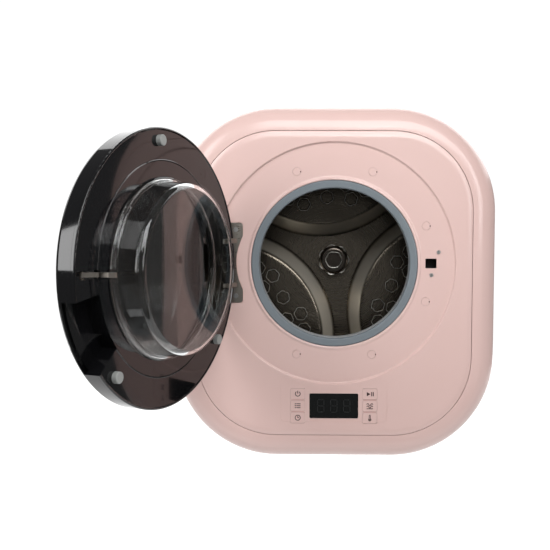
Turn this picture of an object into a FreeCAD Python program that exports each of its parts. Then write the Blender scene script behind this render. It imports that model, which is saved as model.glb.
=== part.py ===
"""Wall-hung front-loading mini washing machine with its round door swung open.

Millimetres. +Z is up, the front faces -Y and the wall is the plane y = 0. The origin is the
centre of the four wall bolts. Depths count backwards from the front panel's outer plane.
"""
import FreeCAD
import Part
import os
from collections import namedtuple
from math import acos, atan2, cos, hypot, pi, radians, sin

Bend = namedtuple("Bend", "via to")

# Body
BODY_WIDTH = 550.0
BODY_HEIGHT = 600.0
BODY_DEPTH = 287.0
BODY_CORNER = 177.0
RIM_INSET = 43.0            # width of the rounded rim, seen from the front
RIM_DEPTH = 42.0            # depth at which the body is widest
RIM_START = 3.2             # depth of the rim beside the seam
WALL = 3.0
SEAM = 1.0
RIM_JOINT = 46.0            # depth at which the rim moulding meets the shell
REAR_ROUND = 20.0
REAR_FLANGE = 40.0          # inset of the rear flange's inner edge
REAR_FLANGE_DEPTH = 279.0
PANEL_SKIRT = 15.7
PANEL_ROLL = 14.0           # width of the panel's rolled edge

# Drum axis, dish and mouth
DRUM_Z = 35.0
DISH_RADIUS = 204.5
DISH_DEPTH = 4.0
COLLAR_RADIUS = 140.2
MOUTH_RADIUS = 126.5
PANEL_SCREW_PCD = 332.0
PANEL_SCREW_ANGLES = [22.5 + 45.0 * step for step in range(8) if step not in (3, 4)]
PANEL_BOSS_RADIUS = 9.5
PANEL_BOSS_DEPTH = 12.0
CAP_RADIUS = 7.0
CAP_SEAT_DEPTH = 8.5

# Controls
DISPLAY_Z = -206.0
DISPLAY_WIDTH = 82.0
DISPLAY_HEIGHT = 42.0
ZONE_HALF_WIDTH = 90.0
ZONE_BOTTOM = -233.0
ZONE_ARC = 212.0
ZONE_SINK = 0.6
KEY_X = 61.0
KEY_WIDTH = 24.0
KEY_HEIGHT = 18.0
KEY_PITCH = 20.5
KEY_GAP = 0.35
KEY_NAMES = (("power_key", "program_key", "delay_key"), ("start_key", "rinse_key", "heat_key"))
BOARD_DEPTH = 13.0

# Door, described shut and then swung open
HINGE_X = -186.0
HINGE_DEPTH = -19.0
HINGE_Z = 35.8
DOOR_OPEN = 112.0
DOOR_RADIUS = 200.5
DOOR_BACK = -4.0            # inner face, in front of the front plane
DOOR_FRONT = -34.0
PART_LINE = -8.0
BOWL_RADIUS = 131.3
FLANGE_RADIUS = 143.0
BOWL_SCREW_RADIUS = 146.4
WINDOW_RADIUS = 155.5
GRIP_INNER = 153.0
GRIP_ANGLES = (-40.0, -9.5)
GRIP_FLOOR = -28.0
BUMPER_RADIUS = 8.0
BUMPER_PCD_RADIUS = 182.0
BUMPER_ANGLES = (84.8, 220.6, 311.6)
ARM_Z = 37.0
ARM_HEIGHT = 7.0
ARM_SLACK = 1.0
PIN_RADIUS = 3.0
RUNNING_GAP = 0.05
LEAF_TOP = 67.0
LATCH_X = 172.0
LATCH_DEPTH = -15.0
LATCH_PIN_RADIUS = 2.0
HOOK_HEIGHT = 6.0
SLOT_X = 162.0
SLOT_Z = 35.8
SLOT_WIDTH = 18.7
SLOT_HEIGHT = 16.2
LOCK_SCREWS = ((174.5, 54.8), (162.8, 16.3))
LEAF_SCREWS = ((-165.6, HINGE_Z + 55.7), (-165.6, HINGE_Z - 55.7))

# Drum, tub and bearings
DRUM_RADIUS = 195.2
DRUM_FRONT = 62.0
DRUM_END = 198.0
DRUM_LIP = 137.0
SHEET = 1.2
BACK_DEPTH = 190.0
MESA_TOP = 150.0
MESA_OFFSET = 245.0
MESA_RADIUS = 175.0
MESA_FOOT = 200.0
MESA_ANGLES = [96.5 + 120.0 * step for step in range(3)]
HEX_ROWS = (                # radius and turns from the field's middle
    (117.5, (-22.0, 0.0, 22.0)),
    (141.0, (-30.3, -15.2, 15.2, 30.3)),
    (165.0, (-22.0, 0.0, 22.0)),
)
HEX_RADIUS = 15.0
TUB_RADIUS = 215.0
TUB_FRONT = 52.0
TUB_SPLIT = 110.0
TUB_BACK = 216.0
TUB_LIP = 224.0
BEARING_RADIUS = 23.5
BEARING_WIDTH = 14.0
BEARING_DEPTHS = (214.2, 235.8)
SHAFT_RADIUS = 10.0
JOURNAL_RADIUS = 12.0

# Drive
PULLEY_RADIUS = 110.0
MOTOR_PULLEY_RADIUS = 12.0
PULLEY_DEPTH = 257.0
PULLEY_WIDTH = 16.0
MOTOR_X = 118.0
MOTOR_Z = -222.0
MOTOR_RADIUS = 52.0
BELT_GAP = 0.35
BELT_THICKNESS = 3.0

# Water
BOX_X = (-96.0, -20.0)
BOX_DEPTH = (58.0, 170.0)
BOX_FLOOR = 262.0
LID_X = (-93.0, -23.0)
LID_DEPTH = (62.0, 166.0)
LID_PIN_RADIUS = 1.2
LID_PIN_DEPTH = 164.4
LID_PIN_Z = 298.5
HOSE_Z = 272.0
HOSE_DEPTH = 155.0
VALVE_X = 80.0
VALVE_DEPTH = 175.0
INLET_THREAD_RADIUS = 13.2
INLET_COLLAR_RADIUS = 16.0
PUMP_X = -30.0
PUMP_Z = -250.0
PUMP_DEPTH = 140.0
PUMP_RADIUS = 27.0
DRAIN_X = -88.0
DRAIN_RADIUS = 10.0
DRAIN_COLLAR_RADIUS = 12.5
PORT_DEPTH = 158.0
PORT_REACH = 318.0
GLAND_X = 30.0
GLAND_DEPTH = 215.0

# Wall fixing
BOLT_SPACING_X = 300.0
BOLT_SPACING_Z = 400.0
BOLT_HOLE_RADIUS = 5.5
BUSH_RADIUS = 12.0
REAR_PANEL_DEPTH = 282.2
REAR_PANEL_INSET = 24.0
POST_RADIUS = 195.0
POST_ANGLES = (20.0, 160.0, 200.0, 340.0)

HALF_W = BODY_WIDTH / 2
HALF_H = BODY_HEIGHT / 2
CORNER_X = HALF_W - BODY_CORNER
CORNER_Z = HALF_H - BODY_CORNER
X_AXIS = FreeCAD.Vector(1, 0, 0)
Y_AXIS = FreeCAD.Vector(0, 1, 0)
Z_AXIS = FreeCAD.Vector(0, 0, 1)


def at(x, depth, z):
    """A point given by its depth behind the front plane."""
    return FreeCAD.Vector(x, depth - BODY_DEPTH, z)


def outline(points, place):
    """A closed wire through points; a Bend is an arc through its via point."""
    first = place(*points[0])
    here = first
    edges = []
    for item in points[1:]:
        if isinstance(item, Bend):
            there = place(*item.to)
            edges.append(Part.Arc(here, place(*item.via), there).toShape())
        else:
            there = place(*item)
            edges.append(Part.LineSegment(here, there).toShape())
        here = there
    if (here - first).Length > 1e-6:
        edges.append(Part.LineSegment(here, first).toShape())
    return Part.Face(Part.Wire(edges))


def lathe(points, x=0.0, z=DRUM_Z):
    """Turns a (radius, depth) outline about a front-to-back axis."""
    face = outline(points, lambda r, d: at(x + r, d, z))
    return face.revolve(at(x, 0, z), Y_AXIS, 360)


def block(x, depth, z):
    """A box from three (low, high) pairs."""
    return Part.makeBox(x[1] - x[0], depth[1] - depth[0], z[1] - z[0], at(x[0], depth[0], z[0]))


def span(centre, size):
    return centre - size / 2, centre + size / 2


def rod(radius, x, z, depth):
    """A cylinder from front to back."""
    return Part.makeCylinder(radius, depth[1] - depth[0], at(x, depth[0], z), Y_AXIS)


def rod_x(radius, x, depth, z):
    return Part.makeCylinder(radius, x[1] - x[0], at(x[0], depth, z), X_AXIS)


def rod_z(radius, x, depth, z):
    return Part.makeCylinder(radius, z[1] - z[0], at(x, depth, z[0]), Z_AXIS)


def polar(radius, angle, centre_z=DRUM_Z):
    """The (x, z) of a point at an angle round the drum axis."""
    return radius * cos(radians(angle)), centre_z + radius * sin(radians(angle))


def round_edges(shape, radius, axis):
    """Rounds the straight edges that run along an axis."""
    edges = [e for e in shape.Edges
             if len(e.Vertexes) == 2 and isinstance(e.Curve, Part.Line)
             and abs((e.Vertexes[1].Point - e.Vertexes[0].Point).normalize().dot(axis)) > 0.99]
    return shape.makeFillet(radius, edges)


def plate(width, height, radius, depth, x=0.0, z=0.0):
    """A rounded rectangle seen from the front."""
    return round_edges(block(span(x, width), depth, span(z, height)), radius, Y_AXIS)


def sector(inner, outer, angles, depth):
    """A slice of a ring round the drum axis."""
    low, high = angles
    middle = (low + high) / 2
    points = [polar(inner, low), polar(outer, low), Bend(polar(outer, middle), polar(outer, high)),
              polar(inner, high), Bend(polar(inner, middle), polar(inner, low))]
    face = outline(points, lambda x, z: at(x, depth[0], z))
    return face.extrude(Y_AXIS * (depth[1] - depth[0]))


def upright(points, z):
    """An (x, depth) outline made solid over a (low, high) height."""
    face = outline(points, lambda x, d: at(x, d, z[0]))
    return face.extrude(Z_AXIS * (z[1] - z[0]))


def join(*shapes):
    return shapes[0].fuse(list(shapes[1:])).removeSplitter()


def frame_sweep(points):
    """Carries an (inset, depth) outline round the body's rounded rectangle."""
    side = outline(points, lambda u, d: at(HALF_W - u, d, 0)).extrude(Z_AXIS * CORNER_Z)
    corner = outline(points, lambda u, d: at(HALF_W - u, d, CORNER_Z)).revolve(at(CORNER_X, 0, CORNER_Z),
                                                                               Y_AXIS, -90)
    top = outline(points, lambda u, d: at(0, d, HALF_H - u)).extrude(X_AXIS * CORNER_X)
    quarter = side.fuse([corner, top])
    half = quarter.fuse(quarter.mirror(FreeCAD.Vector(), X_AXIS))
    return half.fuse(half.mirror(FreeCAD.Vector(), Z_AXIS)).removeSplitter()


def swing(shape):
    """Turns a part of the shut door to its open place."""
    shape = shape.copy()
    shape.rotate(at(HINGE_X, HINGE_DEPTH, 0), Z_AXIS, -DOOR_OPEN)
    return shape


def screw(x, z, face, length, radius=2.0, head=3.8, head_height=2.1, drive=1):
    """A cross-head screw seated on a face; drive is 1 when it goes in backwards and -1 forwards."""
    def both(*offsets):
        return sorted(face + drive * offset for offset in offsets)

    body = rod(head, x, z, both(-head_height, 0)).fuse(rod(radius, x, z, both(-0.1, length)))
    slot = head * 1.3
    for size in ((slot, 0.9), (0.9, slot)):
        body = body.cut(block(span(x, size[0]), both(-head_height - 1, 0.9 - head_height),
                              span(z, size[1])))
    return body


# ---------------------------------------------------------------- body


def rear_screw_places():
    """The twelve screws of the rear panel, as (x, z)."""
    inset = (REAR_PANEL_INSET + REAR_FLANGE) / 2
    reach = (BODY_CORNER - inset) * cos(radians(45))
    places = [(0, HALF_H - inset), (0, inset - HALF_H), (HALF_W - inset, 0), (inset - HALF_W, 0)]
    for sx in (-1, 1):
        for sz in (-1, 1):
            places.append((sx * (CORNER_X + reach), sz * (CORNER_Z + reach)))
    return places, [polar(POST_RADIUS, a) for a in POST_ANGLES]


def wall_bolt_places():
    return [(sx * BOLT_SPACING_X / 2, sz * BOLT_SPACING_Z / 2) for sx in (-1, 1) for sz in (-1, 1)]


def quarter_round(wide, deep, centre_u, centre_d, back=False):
    """Points of the rim's elliptic quarter, from the seam out to the side."""
    steps = 9
    angles = [90.0 * i / (steps - 1) for i in range(steps)]
    points = [(centre_u - wide * sin(radians(a)), centre_d - deep * cos(radians(a))) for a in angles]
    return points[::-1] if back else points


def arcs_through(points):
    """Joins an odd run of points by arcs of three."""
    return [Bend(points[i + 1], points[i + 2]) for i in range(0, len(points) - 2, 2)]


def cabinet_rim():
    """Rounded front moulding, with the ledge that the front panel rests on."""
    outer = quarter_round(RIM_INSET, RIM_DEPTH - RIM_START, RIM_INSET, RIM_DEPTH)
    inner = quarter_round(RIM_INSET - WALL, RIM_DEPTH - RIM_START - WALL, RIM_INSET, RIM_DEPTH, back=True)
    points = [outer[0]] + arcs_through(outer) + [(0, RIM_JOINT), (WALL, RIM_JOINT), inner[0]]
    points += arcs_through(inner) + [(RIM_INSET, RIM_START)]
    ledge = frame_sweep([(RIM_INSET - WALL, RIM_START + WALL + 1), (RIM_INSET, RIM_START), (RIM_INSET, 16),
                         (56, 16),
                         (56, 19), (RIM_INSET - WALL, 19)])
    return frame_sweep(points).fuse(ledge).removeSplitter()


def cabinet_shell():
    """Side walls and rear flange, open at the front and the back."""
    back = REAR_FLANGE_DEPTH + WALL
    turn = 1 - cos(radians(45))
    small = REAR_ROUND - WALL
    skin = frame_sweep([(0, RIM_JOINT), (0, back - REAR_ROUND),
                        Bend((REAR_ROUND * turn, back - REAR_ROUND * turn), (REAR_ROUND, back)),
                        (REAR_FLANGE, back), (REAR_FLANGE, REAR_FLANGE_DEPTH),
                        (REAR_ROUND, REAR_FLANGE_DEPTH),
                        Bend((WALL + small * turn, REAR_FLANGE_DEPTH - small * turn),
                             (WALL, back - REAR_ROUND)),
                        (WALL, RIM_JOINT)])
    posts = rear_screw_places()[0]
    shell = skin.fuse([rod(6.0, x, z, (262, REAR_FLANGE_DEPTH + 1)) for x, z in posts])
    holes = [rod(2.55, x, z, (264, 290)) for x, z in posts]
    lid_gap = 0.5
    mouth = block((LID_X[0] - lid_gap, LID_X[1] + lid_gap),
                  (LID_DEPTH[0] - lid_gap, LID_DEPTH[1] + lid_gap),
                  (290, 310))
    relief = block((LID_X[0] - lid_gap, LID_X[1] + lid_gap), (LID_PIN_DEPTH - 7, LID_DEPTH[1] + lid_gap),
                   (290, 310))
    holes += [round_edges(mouth, 6.0, Z_AXIS), relief]
    holes.append(rod_x(LID_PIN_RADIUS + RUNNING_GAP, (LID_X[0] - 2.8, LID_X[1] + 2.8), LID_PIN_DEPTH,
                       LID_PIN_Z))
    scoop_x = (LID_X[0] + LID_X[1]) / 2
    holes.append(Part.makeSphere(14.0, at(scoop_x, LID_DEPTH[0] - 4.0, HALF_H + 12.2)))
    holes.append(rod_z(INLET_COLLAR_RADIUS + 0.6, VALVE_X, VALVE_DEPTH, (280, 320)))
    holes.append(rod_z(DRAIN_COLLAR_RADIUS + 0.6, DRAIN_X, PORT_DEPTH, (-320, -280)))
    holes.append(rod_z(8.1, GLAND_X, GLAND_DEPTH, (-320, -280)))
    return shell.cut(holes).removeSplitter()


def rear_panel():
    shape = plate(2 * (HALF_W - REAR_PANEL_INSET), 2 * (HALF_H - REAR_PANEL_INSET),
                  BODY_CORNER - REAR_PANEL_INSET,
                  (REAR_PANEL_DEPTH, 285.0))
    ring, posts = rear_screw_places()
    holes = [rod(2.7, x, z, (280, 290)) for x, z in ring + posts]
    holes += [rod(BUSH_RADIUS, x, z, (280, 290)) for x, z in wall_bolt_places()]
    shape = shape.cut(holes)
    stiffener = frame_sweep([(49, 279.5), (55, 279.5), (58, REAR_PANEL_DEPTH + 1),
                             (46, REAR_PANEL_DEPTH + 1)])
    return shape.fuse(stiffener).removeSplitter()


def rear_screws():
    ring, posts = rear_screw_places()
    shapes = []
    for x, z in ring + posts:
        head = rod(4.5, x, z, (285.0, 286.8))
        socket = rod(1.8, x, z, (286.0, 288.0))
        shapes.append(head.fuse(rod(2.5, x, z, (268.0, 285.1))).cut(socket))
    return Part.makeCompound(shapes)


def wall_bushes():
    shapes = []
    for x, z in wall_bolt_places():
        shapes.append(lathe([(BOLT_HOLE_RADIUS, 278.5), (16, 278.5), (16, 282.0), (11.9, 282.0),
                             (11.9, 285.1),
                             (16, 285.1), (16, BODY_DEPTH), (BOLT_HOLE_RADIUS, BODY_DEPTH)], x, z))
    return Part.makeCompound(shapes)


def control_zone():
    """The shallow field behind the keys; its top edge follows the dish."""
    field = block((-ZONE_HALF_WIDTH, ZONE_HALF_WIDTH), (-1, ZONE_SINK), (ZONE_BOTTOM, DRUM_Z - 165))
    field = field.cut(rod(ZONE_ARC, 0, DRUM_Z, (-2, 2)))
    return round_edges(field, 7.0, Y_AXIS)


def key_places():
    """Node name, x and z of each key."""
    for column, names in zip((-KEY_X, KEY_X), KEY_NAMES):
        for row, name in enumerate(names):
            yield name, column, DISPLAY_Z + KEY_PITCH * (1 - row)


def leaf_plate(grow, depth):
    """The hinge's body plate: a waisted upright plate with two ears."""
    height = 2 * LEAF_TOP + 2 * grow
    shape = block((-188.0 - grow, -154.0 + grow), depth, span(HINGE_Z, height))
    shape = round_edges(shape, 5.0, Y_AXIS)
    return shape.cut(rod(97.5 - grow, -67.5, HINGE_Z, (depth[0] - 1, depth[1] + 1)))


def front_panel():
    seam_edge = RIM_INSET + SEAM
    flat_edge = seam_edge + PANEL_ROLL
    band = frame_sweep([(seam_edge, 2.7), Bend((seam_edge + 5, 0.85), (flat_edge, 0)), (flat_edge + 3, 0),
                        (flat_edge + 3, WALL), (flat_edge, WALL),
                        Bend((seam_edge + 6.5, 3.7), (seam_edge + WALL, 5.6)),
                        (seam_edge + WALL, PANEL_SKIRT), (seam_edge, PANEL_SKIRT)])
    field = plate(2 * (HALF_W - flat_edge), 2 * (HALF_H - flat_edge), BODY_CORNER - flat_edge, (0, WALL))
    face = band.fuse(field).cut(rod(DISH_RADIUS, 0, DRUM_Z, (-1, 5)))
    back = DISH_DEPTH + WALL
    dish = lathe([(DISH_RADIUS + 1.5, 0), (DISH_RADIUS, 0), Bend((203.5, 0.45), (202.8, 2)),
                  Bend((202.1, 3.5), (200.6, DISH_DEPTH)),
                  (147.5, DISH_DEPTH), Bend((145.6, 3.6), (144.2, 2.6)), Bend((142.6, 1.9), (141.0, 2.3)),
                  Bend((140.4, 2.6), (COLLAR_RADIUS, 3.2)), (COLLAR_RADIUS, 14), (COLLAR_RADIUS + WALL, 14),
                  (COLLAR_RADIUS + WALL, back), (202, back), (DISH_RADIUS + 1.5, WALL)])
    panel = face.fuse(dish)
    places = [polar(PANEL_SCREW_PCD / 2, a) for a in PANEL_SCREW_ANGLES]
    posts = [rod(PANEL_BOSS_RADIUS, x, z, (DISH_DEPTH + 1, PANEL_BOSS_DEPTH)) for x, z in places]
    posts += [rod(3.5, sx * 80, DISPLAY_Z + sz * 26, (2, BOARD_DEPTH)) for sx in (-1, 1) for sz in (-1, 1)]
    panel = panel.fuse(posts)
    cuts = [control_zone(), leaf_plate(0.6, (2, 5.0))]
    cuts += [rod(CAP_RADIUS + 0.3, x, z, (0, CAP_SEAT_DEPTH)) for x, z in places]
    cuts += [rod(2.3, x, z, (5, 20)) for x, z in places]
    cuts.append(plate(DISPLAY_WIDTH + 0.6, DISPLAY_HEIGHT + 0.6, 2.3, (-1, 5), 0, DISPLAY_Z))
    for _, x, z in key_places():
        cuts.append(plate(KEY_WIDTH + 2 * KEY_GAP, KEY_HEIGHT + 2 * KEY_GAP, 2.3, (-1, 5), x, z))
    cuts.append(plate(SLOT_WIDTH, SLOT_HEIGHT, 1.0, (2, 9), SLOT_X, SLOT_Z))
    cuts += [rod(2.1, x, z, (2, 9)) for x, z in LOCK_SCREWS + LEAF_SCREWS]
    return panel.cut(cuts).removeSplitter()


def screw_caps():
    shapes = []
    for angle in PANEL_SCREW_ANGLES:
        x, z = polar(PANEL_SCREW_PCD / 2, angle)
        cap = rod(CAP_RADIUS, x, z, (3.3, 6.0))
        cap = cap.makeFillet(0.6, [cap.Edges[0], cap.Edges[2]])
        notch = block((x + CAP_RADIUS - 1.4, x + CAP_RADIUS + 1), (2, 4.6), span(z, 2.6))
        shapes.append(cap.cut(notch))
    return Part.makeCompound(shapes)


def front_screws():
    """Six screws under the caps, two in the lock's ears and two in the hinge plate."""
    shapes = [screw(*polar(PANEL_SCREW_PCD / 2, a), CAP_SEAT_DEPTH, 18.0) for a in PANEL_SCREW_ANGLES]
    shapes += [screw(x, z, DISH_DEPTH, 7.0, 1.7, 3.3, 1.2) for x, z in LOCK_SCREWS]
    shapes += [screw(x, z, 2.4, 14.0, 1.7, 4.0, 1.4) for x, z in LEAF_SCREWS]
    return Part.makeCompound(shapes)


def display_window():
    glass = plate(DISPLAY_WIDTH, DISPLAY_HEIGHT, 2.0, (ZONE_SINK, 3.3), 0, DISPLAY_Z)
    return join(glass, plate(DISPLAY_WIDTH + 6, DISPLAY_HEIGHT + 6, 3.0, (3.2, 4.7), 0, DISPLAY_Z))


def key_cap(x, z):
    cap = plate(KEY_WIDTH, KEY_HEIGHT, 2.0, (ZONE_SINK, 3.5), x, z)
    flange = plate(KEY_WIDTH + 5, KEY_HEIGHT, 2.0, (3.4, 4.6), x, z)
    return join(cap, flange, rod(1.6, x, z, (4.5, 7.5)))


def control_board():
    board = block((-86, 86), (BOARD_DEPTH, BOARD_DEPTH + 1.6), span(DISPLAY_Z, 62))
    parts = [block((-36, 36), (5.2, BOARD_DEPTH + 0.1), span(DISPLAY_Z, 34))]
    for _, x, z in key_places():
        parts.append(block(span(x, 6), (9.6, BOARD_DEPTH + 0.1), span(z, 6)))
        parts.append(rod(1.7, x, z, (8.9, 9.7)))
    parts.append(block((-20, 20), (BOARD_DEPTH + 1.5, BOARD_DEPTH + 9), (DISPLAY_Z - 26, DISPLAY_Z - 18)))
    return join(board, *parts)


def door_gasket():
    return lathe([(139.8, 13), (139.8, 4.4), Bend((139.2, 3.1), (137.9, 2.6)), (129.2, 3.2),
                  Bend((127.3, 3.9), (MOUTH_RADIUS, 5.8)),
                  (MOUTH_RADIUS, 11), (128.4, 20), (141.2, 24.2), Bend((143.8, 27), (141.2, 29.8)),
                  (134, 33), (132.2, 36),
                  (132.2, 50), (134.6, 50), (134.6, 37), (142.4, 32), Bend((146.4, 27), (142.4, 22)),
                  (130.6, 18),
                  (128.8, 11), (128.8, 6.4), (137.4, 5.6), (137.4, 13)])


def gasket_clamp():
    ring = Part.makeTorus(136.3, 1.5, at(0, 44, DRUM_Z), Y_AXIS)
    x, z = polar(136.3, -90)
    return join(ring, block(span(x, 14), (41, 47), (z - 8, z - 0.5)),
                rod_x(1.6, (x - 14, x + 10), 44, z - 5))


def door_lock():
    body = block((149.0, 190.0), (7.3, 34.0), span(SLOT_Z, 28))
    ears = [rod(6.0, x, z, (7.3, 11.0)) for x, z in LOCK_SCREWS]
    ears.append(block((157, 169), (7.3, 11.0), (LOCK_SCREWS[1][1], SLOT_Z)))
    ears.append(block((168.5, 180.5), (7.3, 11.0), (SLOT_Z, LOCK_SCREWS[0][1])))
    coil = rod_x(8.0, (189, 214), 22, SLOT_Z)
    cavity = block((150.5, 174.0), (5.0, 31.0), span(SLOT_Z, 17.4))
    holes = [rod(1.75, x, z, (6, 12)) for x, z in LOCK_SCREWS]
    return join(body, coil, *ears).cut([cavity] + holes)


# ---------------------------------------------------------------- hinge


def hinge_leaf_body():
    """Waisted plate on the dish with two arms that carry the hinge pin."""
    leaf = leaf_plate(0, (2.4, 4.9))
    arms = []
    for side in (-1, 1):
        z = span(HINGE_Z + side * ARM_Z, ARM_HEIGHT)
        arms.append(upright([(-191.8, HINGE_DEPTH + 3), (-177, 3), (-163, 3), (-180.6, HINGE_DEPTH - 3.6)],
                            z))
        arms.append(rod_z(6.5, HINGE_X, HINGE_DEPTH, z))
    bore = rod_z(PIN_RADIUS + 0.02, HINGE_X, HINGE_DEPTH, (HINGE_Z - 60, HINGE_Z + 60))
    screw_holes = [rod(1.75, x, z, (0, 8)) for x, z in LEAF_SCREWS]
    return join(leaf, *arms).cut([bore] + screw_holes)


def hinge_pin():
    reach = ARM_Z + ARM_HEIGHT / 2
    pin = rod_z(PIN_RADIUS, HINGE_X, HINGE_DEPTH, (HINGE_Z - reach - 0.6, HINGE_Z + reach + 0.6))
    return join(pin, rod_z(4.4, HINGE_X, HINGE_DEPTH, (HINGE_Z + reach + 0.2, HINGE_Z + reach + 1.8)))


def hinge_leaf_door():
    """Long knuckle on the pin and a flat plate that is screwed inside the door."""
    inside = ARM_Z - ARM_HEIGHT / 2 - ARM_SLACK
    z = (HINGE_Z - inside, HINGE_Z + inside)
    leaf = join(rod_z(5.5, HINGE_X, HINGE_DEPTH, z),
                block((HINGE_X, -148), (-20.5, -17.5), (z[0] + 2, z[1] - 2)))
    holes = [rod_z(PIN_RADIUS + RUNNING_GAP, HINGE_X, HINGE_DEPTH, (z[0] - 1, z[1] + 1))]
    holes += [rod(1.95, x, hz, (-22, -16)) for x, hz in door_leaf_screws()]
    return leaf.cut(holes)


def door_leaf_screws():
    return [(-157.0, HINGE_Z - 20), (-157.0, HINGE_Z + 20)]


# ---------------------------------------------------------------- door, shut


def bumper_places():
    return [polar(BUMPER_PCD_RADIUS, a) for a in BUMPER_ANGLES]


def bowl_screw_places():
    return [polar(BOWL_SCREW_RADIUS, 30.0 + 60.0 * step) for step in range(6)]


def hinge_pockets():
    """Room in the door for the two hinge arms, open to the inner face and the rim."""
    height = ARM_HEIGHT + 2 * ARM_SLACK
    return [block((-205, -160), (-26, 0), span(HINGE_Z + side * ARM_Z, height)) for side in (-1, 1)]


def grip_space():
    return sector(GRIP_INNER, DOOR_RADIUS + 6, GRIP_ANGLES, (GRIP_FLOOR, 2))


def door_frame_inner():
    """Glossy inner face with a fine lip, a finger pocket and seats for what it carries."""
    face = lathe([(BOWL_RADIUS + 0.4, DOOR_BACK), (153.4, DOOR_BACK),
                  Bend((154.6, DOOR_BACK + 0.9), (155.8, DOOR_BACK)),
                  (196.4, DOOR_BACK), (197.2, -3.3), Bend((198.4, -2.8), (199.6, -3.1)),
                  Bend((200.2, -3.5), (DOOR_RADIUS, -4.4)),
                  (DOOR_RADIUS, PART_LINE + 0.2), (197.2, PART_LINE + 0.2), (197.2, -14), (194.4, -14),
                  (194.4, -7),
                  (BOWL_RADIUS + 0.4, -7)])
    around = (GRIP_ANGLES[0] - 1.1, GRIP_ANGLES[1] + 1.1)
    solids = [sector(GRIP_INNER - 2.5, 191.5, around, (GRIP_FLOOR - 2.5, -5)),
              sector(GRIP_INNER - 2.5, 197.2, around, (-25.8, -5))]
    solids += [rod(3.2, x, z, (-10.5, -6)) for x, z in bowl_screw_places()]
    solids += [rod(5.0, x, z, (-17.4, -6)) for x, z in door_leaf_screws()]
    for z in ((DRUM_Z + 4, DRUM_Z + 9.5), (DRUM_Z - 14, DRUM_Z - 9.5)):
        solids.append(block((166, 178), (-20, -6), z))
    cuts = [grip_space(), block((150, 189), (-8, 0), span(DRUM_Z, 11.0))] + hinge_pockets()
    cuts += [rod(2.1, x, z, (-9, 0)) for x, z in bumper_places()]
    cuts += [rod(1.6, x, z, (-12, -5)) for x, z in bowl_screw_places()]
    cuts += [rod(1.9, x, z, (-18, -5.5)) for x, z in door_leaf_screws()]
    cuts.append(rod_z(LATCH_PIN_RADIUS + 0.02, LATCH_X, LATCH_DEPTH, (DRUM_Z - 14.5, DRUM_Z + 10)))
    cuts.append(block((-193, -176), (-27, -12), span(HINGE_Z, 2 * ARM_Z)))
    return face.fuse(solids).cut(cuts).removeSplitter()


def door_cover_outer():
    """Side wall and front ring of the door, with a seat for the window."""
    skin = lathe([(DOOR_RADIUS, PART_LINE), (DOOR_RADIUS, -27), Bend((198.6, -31.6), (194, DOOR_FRONT)),
                  (166, -37.4), Bend((161.5, -38.4), (156, -38.2)), (156, -35.2), (149, -35.2),
                  (149, -32.4), (160, -32.4),
                  (192.5, -30.8), Bend((196, -29.3), (197.5, -26)), (197.5, PART_LINE)])
    posts = [rod(6.0, x, z, (-33, -7.2)) for x, z in bumper_places()]
    cuts = [grip_space()] + hinge_pockets()
    cuts += [rod(1.95, x, z, (-30, -6)) for x, z in bumper_places()]
    return skin.fuse(posts).cut(cuts).removeSplitter()


def door_window_outer():
    """Domed tinted pane in the middle of the door's front."""
    return lathe([(0, -44), (12, -44), Bend((80, -42.4), (152.5, -38.2)),
                  Bend((154.9, -37.6), (WINDOW_RADIUS, -36.2)),
                  (WINDOW_RADIUS, -35.4), (150, -35.4), Bend((80, -39.2), (12, -40.8)), (0, -40.8)])


def door_bowl():
    """Clear stepped bowl that reaches through the mouth when the door is shut."""
    return lathe([(0, 39), (12, 39), Bend((60, 38.6), (112, 37)), Bend((117, 34.8), (118.4, 30)),
                  (121.6, 3), (124, -0.6), (127.8, -3.4),
                  (127.8, -10.3), (FLANGE_RADIUS, -10.3), (FLANGE_RADIUS, -7.2), (BOWL_RADIUS, -7.2),
                  (BOWL_RADIUS, -2.2),
                  Bend((130.4, 0), (128.4, 0.9)), Bend((126, 1.6), (125.1, 3.8)), (122.0, 31),
                  Bend((119.8, 38), (113, 40.8)),
                  Bend((60, 42.5), (12, 43)), (0, 43)])


def bowl_ring():
    """Clamps the bowl's flange against the back of the inner frame."""
    ring = lathe([(128.5, -13.6), (149.8, -13.6), (149.8, -10.6), (128.5, -10.6)])
    return ring.cut([rod(1.75, x, z, (-15, -9)) for x, z in bowl_screw_places()])


def door_bumpers():
    shapes = []
    for x, z in bumper_places():
        shapes.append(lathe([(0, 3.7), (6.6, 3.7), Bend((7.7, 3.2), (BUMPER_RADIUS, 2.2)),
                             (BUMPER_RADIUS, DOOR_BACK),
                             (4.3, DOOR_BACK), (4.3, -1.4), (0, -1.4)], x, z))
    return Part.makeCompound(shapes)


def door_screws():
    """Screws under the bumpers, behind the bowl's ring and through the hinge plate."""
    shapes = [screw(x, z, DOOR_BACK, 20.0, 1.9, drive=-1) for x, z in bumper_places()]
    for x, z in bowl_screw_places():
        shapes.append(rod(3.0, x, z, (-15.8, -13.7)).fuse(rod(1.55, x, z, (-13.8, -6.0))))
    for x, z in door_leaf_screws():
        shapes.append(rod(3.6, x, z, (-22.8, -20.6)).fuse(rod(1.85, x, z, (-20.7, -7.5))))
    return Part.makeCompound(shapes)


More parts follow.
